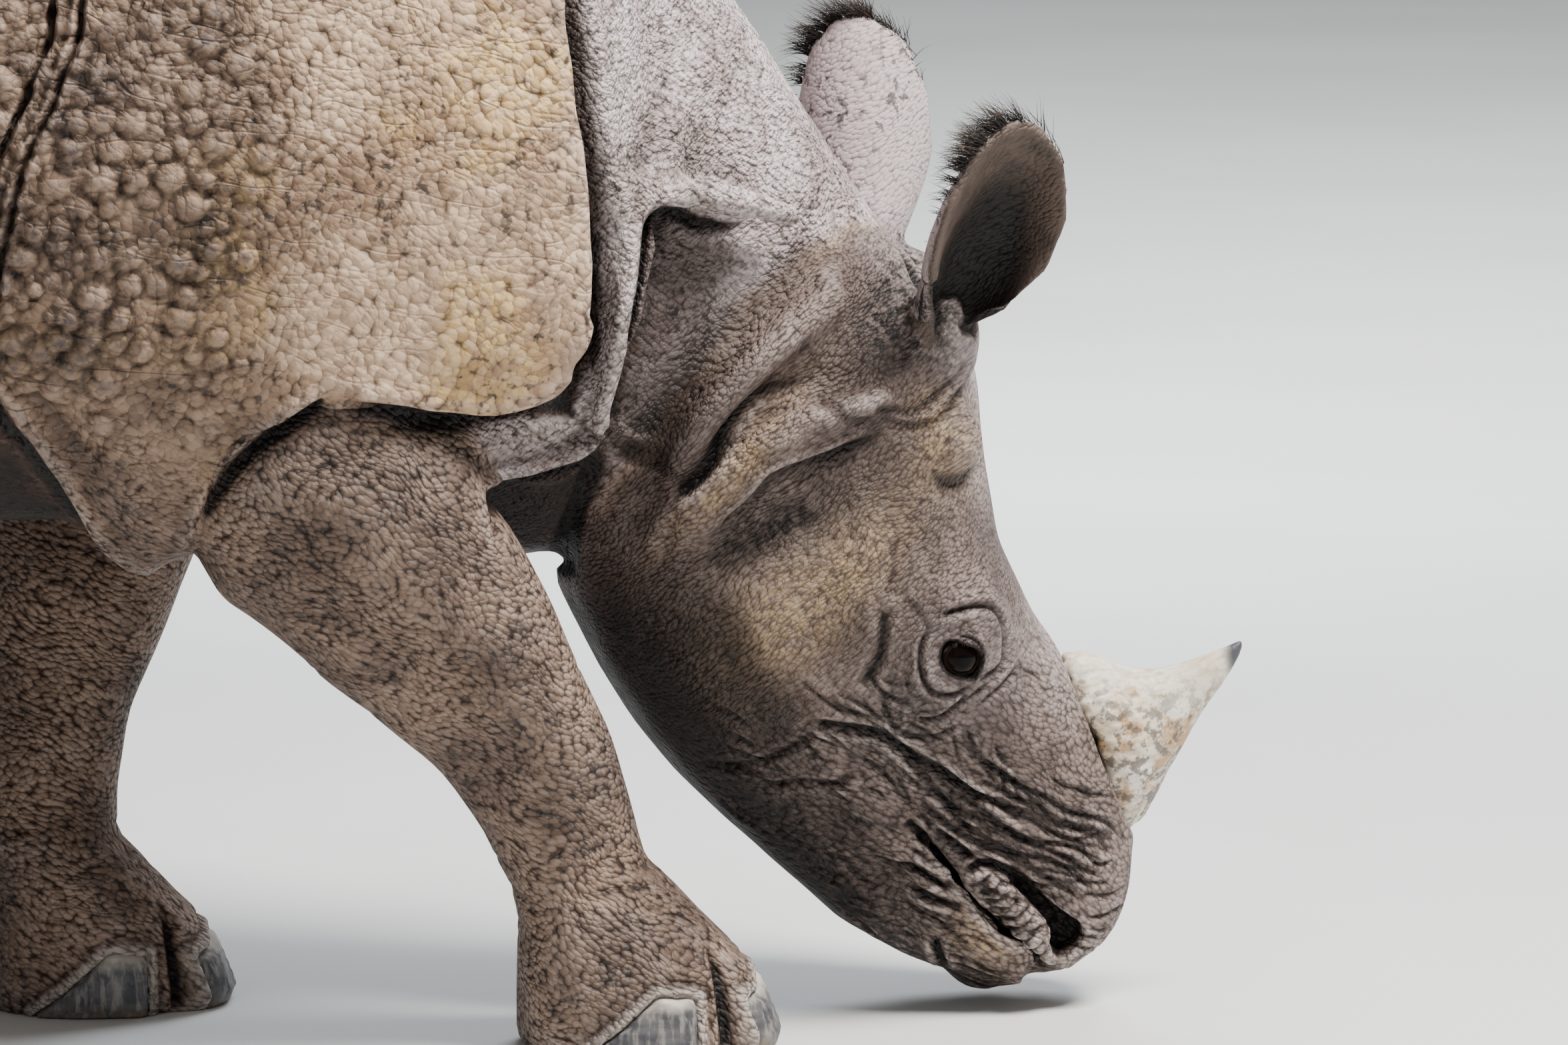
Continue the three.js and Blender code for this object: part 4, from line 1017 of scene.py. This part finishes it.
# The head is darker, partly its own colour and partly painted shade of its sides; its bald top is
# lighter, partly paler skin and partly a painted highlight.
colour = face.mix(colour, mottle.mix((0.13, 0.093, 0.080, 1), (0.26, 0.20, 0.178, 1)))
colour = bald_and_sheen.mix(colour, mottle.mix((0.33, 0.275, 0.275, 1), (0.52, 0.465, 0.47, 1)))
colour = (tan * (0.25 + 0.65 * patchy)).mix(colour, (0.60, 0.44, 0.27, 1))
colour = (ear * (1 - inner)).mix(colour, (0.56, 0.48, 0.50, 1))
# Darker ovals on the head, and the painted shade of its underside.
colour = (dark * (0.40 + patchy) * 0.80).mix(colour, (0.032, 0.024, 0.021, 1))
# A painted highlight on the ridges, stronger on the face.
raised = (1 - hollow.step(0.15, 0.5)) * blend(0.22, 0.60, face)
colour = raised.mix(colour, (0.56, 0.48, 0.45, 1))
colour = (speckle * 0.8).mix(colour, (0.045, 0.036, 0.032, 1))
tone = blend(blend(pebble_tone, fine_tone, neck + face + leg), 0.5, ear)
colour = colour.tinted((0.52, 0.46, 0.42, 1), tone.step(0.75, 0.2) * (0.72 - 0.17 * face))
# Painted shade in the furrows between the pads.
furrow_shade = (1 - height.step(0.12, 0.78)) * (0.82 - 0.24 * face - 0.30 * neck - 0.40 * ear)
colour = colour.tinted((0.17, 0.118, 0.096, 1), furrow_shade)
# Painted shade in the hollows.
colour = colour.tinted((0.07, 0.046, 0.036, 1), hollow.step(0.5, 0.9) * 0.92)
# A painted highlight on the knobs' domes; their very tips are darker where the mottling is low.
colour = (knob.step(0.5, 1.0) * 0.35).mix(colour, (0.28, 0.20, 0.155, 1))
colour = (knob.step(0.75, 1.0) * mottle.step(0.9, 0.3) * 0.75).mix(colour, (0.050, 0.042, 0.045, 1))
colour = (cuticle * 0.7).mix(colour, (0.46, 0.41, 0.37, 1))
# The inside of the ear is dark brown, partly its own colour and partly painted shade; the deep of its cup
# is near black, a painted shadow.
colour = inner.mix(colour, fine_noise.mix((0.03, 0.021, 0.016, 1), (0.145, 0.102, 0.080, 1)))
colour = scooped.mix(colour, (0.008, 0.006, 0.005, 1))
# The painted shade: tinted darker where it is light, near black where it is deep.
colour = colour.tinted((0.12, 0.078, 0.060, 1), gloom.step(0.03, 0.62))
colour = gloom.step(0.60, 0.95).mix(colour, (0.007, 0.005, 0.004, 1))
feed(shader, "Base Color", colour)
feed(shader, "Roughness", 0.5 + 0.25 * fine_noise)

mesh.materials.clear()
mesh.materials.append(skin_material)
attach(skin, "root")
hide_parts(*flesh)

# ---- Eyes ----
# Wet, dark eyeballs that fill the openings of the lids. Each is a polished ball with a
# slightly raised cornea over a dark brown iris and a wide, round pupil.
for name, eye, hand in (("right_eye", right_eye, -1), ("left_eye", left_eye, 1)):
    gaze = (head_side * hand + head_down * 0.05 + head_brow * 0.02).normalized()
    ball = bmesh.new()
    bmesh.ops.create_uvsphere(ball, u_segments=48, v_segments=32, radius=EYE_RADIUS)
    for vert in ball.verts:
        rise = vert.co.normalized().z
        vert.co *= 1 + 0.045 * max(0.0, (rise - 0.80) / 0.20) ** 1.2
    looking = gaze.to_track_quat("Z", "Y").to_matrix().to_4x4()
    bmesh.ops.transform(ball, matrix=Matrix.Translation(eye) @ looking, verts=ball.verts)
    eyeball = add_object(name + "_ball", ball)
    data = eyeball.data
    from_centre = read(data)[0] - np.array(eye)
    paint(data, "sight", from_centre @ np.array(gaze) / np.linalg.norm(from_centre, axis=1))
    data.shade_smooth()
    plain = {"Roughness": 0.07, "Specular IOR Level": 0.06, "Coat Weight": 0.03, "Coat Roughness": 0.03}
    eye_material, start, shader = material(name + "_wet", plain)
    sight = painted("sight")
    rays = object_place(start).noise(900, 2)
    iris = rays.mix((0.002, 0.001, 0.001, 1), (0.008, 0.004, 0.003, 1))
    white = rays.mix((0.01, 0.006, 0.005, 1), (0.03, 0.019, 0.015, 1))
    shown = sight.step(0.66, 0.72).mix(white, iris)
    feed(shader, "Base Color", sight.step(0.945, 0.955).mix(shown, (0.002, 0.002, 0.002, 1)))
    data.materials.append(eye_material)
    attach(eyeball, "root")
    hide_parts(name)

# ---- Horn ----
# One horn of matted fibres on the nose, worn smooth and pale to a dark tip, and frayed and
# stained where it spreads over the skin.
HORN_GRID = 0.0028
horn_data = frame["nodes"]["horn"].data.copy()
horn_data.name = "nose_horn"
horn = bpy.data.objects.new("nose_horn", horn_data)
bpy.context.collection.objects.link(horn)
data = remeshed(horn, HORN_GRID)
places, facing, edges = read(data)
places = averaged(places, edges, 0.9, 22) + 0.0012 * facing
from_poll = places - np.array(poll)
down_it, out_of_it = from_poll @ np.array(head_down), from_poll @ np.array(head_brow)
across_it = from_poll @ np.array(head_side)
reach = (out_of_it - out_of_it.min()) / np.ptp(out_of_it)
lower = ease(down_it, 0.48, 0.54) * (1 - 0.6 * ease(down_it, 0.565, 0.60)) * (1 - ease(reach, 0.35, 0.8))
places += (0.013 * lower)[:, None] * (0.95 * np.array(head_brow) + 0.10 * np.array(head_down))
write(data, places)
places, facing, edges = read(data)
foot_of_horn = 1 - ease(reach, 0.10, 0.42)
lengthwise = np.stack((down_it * 230, across_it * 230, out_of_it * 60), axis=1)
strands = np.array([noise.noise(Vector(place)) for place in lengthwise])
pits = np.array([noise.noise(Vector(point) * 95) for point in places])
places += facing * (0.0012 * strands * (0.25 + foot_of_horn) + 0.0022 * pits * foot_of_horn)[:, None]
places[:, 0] = np.minimum(places[:, 0], solid_high.x + 0.004)
write(data, places)
paint(data, "reach", reach)
paint(data, "lower", ease(down_it, 0.43, 0.56) * (1 - 0.6 * reach))
paint(data, "fibre", 0.5 + 0.5 * strands)
data.shade_smooth()
data.materials.clear()
horn_material, start, shader = material("horn_fibre", {"Roughness": 0.5, "Specular IOR Level": 0.4})
place = object_place(start)
reach, lower, fibre = painted("reach"), painted("lower"), painted("fibre")
colour = place.noise(22, 4).step(0.35, 0.65).mix((0.66, 0.58, 0.45, 1), (0.78, 0.73, 0.64, 1))
stain = 0.85 * place.noise(34, 3, 0.6).step(0.44, 0.62) * (lower + 0.25 * (1 - reach)).step(0.1, 0.8)
colour = stain.mix(colour, (0.42, 0.24, 0.085, 1))
grimy = lower * 1.1 + (1 - reach.step(0, 0.3)) * 0.4
grime = place.noise(75, 4, 0.65).step(0.48, 0.58) * grimy.step(0.1, 0.9)
colour = (grime * 0.8).mix(colour, (0.07, 0.06, 0.055, 1))
colour = colour.tinted((0.45, 0.38, 0.30, 1), fibre.step(0.55, 0.3) * 0.35)
tip = (reach + 0.10 * place.noise(35, 3)).step(0.90, 0.99)
colour = tip.mix(colour, (0.06, 0.06, 0.07, 1))
feed(shader, "Base Color", colour)
fibres = {"Strength": 0.6, "Distance": 0.001, "Height": place.noise(260, 3)}
feed(shader, "Normal", start.node("ShaderNodeBump", {}, fibres))
data.materials.append(horn_material)
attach(horn, "root")
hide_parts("horn")

# ---- Toenails ----
# Three broad, hoof-like nails on each foot, of dark horn with growth lines, pale and chalky
# next to the skin and worn at the ground.
NAIL_GRID = 0.0022
RING_GAP = 0.011
nail_material, start, shader = material("nail_horn", {"Roughness": 0.5, "Specular IOR Level": 0.4})
place = object_place(start)
height = painted("height")
streaks = place.moved((1, 1, 0.2)).noise(160, 3).step(0.45, 0.65)
colour = place.noise(40, 4).step(0.35, 0.65).mix((0.045, 0.047, 0.055, 1), (0.11, 0.105, 0.11, 1))
colour = (streaks * 0.5).mix(colour, (0.34, 0.31, 0.28, 1))
chalk = (height + 0.25 * place.noise(55, 3)).step(0.72, 1.0)
colour = chalk.mix(colour, (0.50, 0.45, 0.39, 1))
soil = (1 - height.step(0.0, 0.25)) * place.noise(70, 4).step(0.4, 0.6)
colour = soil.mix(colour, (0.16, 0.12, 0.08, 1))
feed(shader, "Base Color", colour)
growth = {"Strength": 0.6, "Distance": 0.0012, "Height": place.moved((0.2, 0.2, 1)).noise(240, 2)}
feed(shader, "Normal", start.node("ShaderNodeBump", {}, growth))
for leg in LEGS:
    nodes = [f"{leg}_nail_{where}" for where in NAILS]
    joined = bmesh.new()
    for node in nodes:
        joined.from_mesh(frame["nodes"][node].data)
    nails = add_object(f"{leg}_nails", joined)
    data = remeshed(nails, NAIL_GRID)
    places, facing, edges = read(data)
    on_ground = places[:, 2] < 0.002
    places = averaged(places, edges, np.where(on_ground, 0, 0.9), 14)
    places += 0.0016 * facing * ~on_ground[:, None]
    rings = np.sin(places[:, 2] * 2 * math.pi / RING_GAP + 40 * places[:, 1]) * 0.00035
    places += facing * (rings * ~on_ground)[:, None]
    places[:, 2] = np.maximum(places[:, 2], 0)
    write(data, places)
    paint(data, "height", places[:, 2] / places[:, 2].max())
    data.shade_smooth()
    data.materials.append(nail_material)
    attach(nails, "root")
    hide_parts(*nodes)

# ---- Hair ----
# Stiff, dark bristles: a fringe on the rims of the ears, short lashes, and two rows that
# make the brush at the end of the tail.
hair_material, start, shader = material("bristle", {"Roughness": 0.45, "Specular IOR Level": 0.4})
along_hair = painted("along")
rust = object_place(start).noise(70, 2).step(0.5, 0.7)
colour = rust.mix((0.012, 0.010, 0.009, 1), (0.055, 0.028, 0.014, 1))
feed(shader, "Base Color", (along_hair * 0.5).mix(colour, (0.06, 0.045, 0.035, 1)))


def bristles(name, roots, thickness, replaced=()):
    """Tapered three-sided hairs, each from a root along its way, bending under its weight."""
    hairs = bmesh.new()
    run = hairs.verts.layers.float.new("along")
    chart = hairs.loops.layers.uv.new("OFBake")
    cells = math.ceil(math.sqrt(len(roots)))
    for number, (root, way, length, sag) in enumerate(roots):
        side = way.cross(Vector((0.3, 0.2, 0.9))).normalized()
        rings_of_hair = []
        for step in range(5):
            t = step / 4
            centre = root + way * length * t + Vector((0, 0, -sag * length * t * t))
            radius = thickness * (1 - 0.85 * t)
            other = way.cross(side)
            ring = []
            for corner in range(3):
                angle = corner * 2 * math.pi / 3
                outward = side * math.cos(angle) + other * math.sin(angle)
                vert = hairs.verts.new(centre + outward * radius)
                vert[run] = t
                ring.append(vert)
            rings_of_hair.append(ring)
        faces = [hairs.faces.new(rings_of_hair[0][::-1]), hairs.faces.new(rings_of_hair[-1])]
        for lower_ring, upper_ring in zip(rings_of_hair, rings_of_hair[1:]):
            for corner in range(3):
                after = (corner + 1) % 3
                square = (lower_ring[corner], lower_ring[after], upper_ring[after], upper_ring[corner])
                faces.append(hairs.faces.new(square))
        u, v = (number % cells + 0.5) / cells, (number // cells + 0.5) / cells
        for face in faces:
            face.smooth = True
            for loop in face.loops:
                loop[chart].uv = (u + 0.0015 * loop.vert[run], v + 0.0015 * (loop.index % 2))
    piece = add_object(name, hairs)
    piece.data.materials.append(hair_material)
    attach(piece, "root")
    if replaced:
        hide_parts(*replaced)


FRINGE_HAIRS, LASHES, BRUSH_HAIRS = 900, 26, 620
skin_points, skin_facing = read(mesh)[:2]
for name, way in ear_opening.items():
    ear_low, ear_high = (Vector(corner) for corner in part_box(name))
    wide = (skin_points > np.array(ear_low) - 0.004) & (skin_points < np.array(ear_high) + 0.004)
    ear_values = np.empty(len(skin_points), np.float32)
    mesh.attributes["ear"].data.foreach_get("value", ear_values)
    edge_on = np.abs(skin_facing @ np.array(way.normalized()))
    height = (skin_points[:, 2] - ear_low.z) / (ear_high.z - ear_low.z)
    rim = np.flatnonzero(wide.all(axis=1) & (ear_values > 0.5) & (edge_on < 0.45) & (height > 0.45))
    roots = []
    behind = (ear_low.x + ear_high.x) / 2 - skin_points[rim, 0] + 0.02
    weights = ease(height[rim], 0.45, 1.0) ** 2 * (0.10 + ease(behind, -0.03, 0.05))
    for number in random.choices(list(rim), weights=list(weights), k=FRINGE_HAIRS):
        root, normal = Vector(skin_points[number]), Vector(skin_facing[number])
        root += Vector([random.gauss(0, 0.002) for _ in range(3)])
        combed = Vector((-0.9, 0, 0.45)) + Vector([random.gauss(0, 0.32) for _ in range(3)])
        heading = (normal * 0.7 + combed).normalized()
        length = random.uniform(0.008, 0.050) * ease(height[number], 0.3, 1.05)
        roots.append((root - normal * 0.001, heading, length, random.uniform(0.0, 0.5)))
    bristles(f"{name}_fringe", roots, 0.0005)

for name, eye, hand in (("right", right_eye, -1), ("left", left_eye, 1)):
    roots = []
    for number in range(LASHES):
        turn = math.radians(random.uniform(20, 150))
        ahead_here, above_here = 0.020 * math.cos(turn), 0.0175 * math.sin(turn)
        rise = math.sqrt((EYE_RADIUS + 0.003) ** 2 - ahead_here ** 2 - above_here ** 2)
        root = eye + head_side * hand * rise + Vector((ahead_here, 0, above_here))
        heading = (head_side * hand + Vector((0.5 * math.cos(turn), 0, 0.2))).normalized()
        roots.append((root, heading, random.uniform(0.008, 0.014), 0.35))
    bristles(f"{name}_lashes", roots, 0.00035)

tuft_low, tuft_high = (Vector(corner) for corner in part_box("tail_tuft"))
tuft_top = Vector(((tuft_low.x + tuft_high.x) / 2, (tuft_low.y + tuft_high.y) / 2, tuft_high.z))
roots = []
for number in range(BRUSH_HAIRS):
    drop = random.random()
    row = random.choice((-1, 1))
    root = tuft_top + Vector((random.gauss(0, 0.004), row * 0.006, 0.03 - drop * 0.05))
    heading = Vector((random.gauss(0, 0.10), row * random.uniform(0.02, 0.2), -1)).normalized()
    length = min(random.uniform(0.6, 1.0) * (tuft_high.z - tuft_low.z), root.z - tuft_low.z)
    roots.append((root, heading, length, 0.0))
bristles("tail_brush", roots, 0.0011, ("tail_tuft",))

low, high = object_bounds()
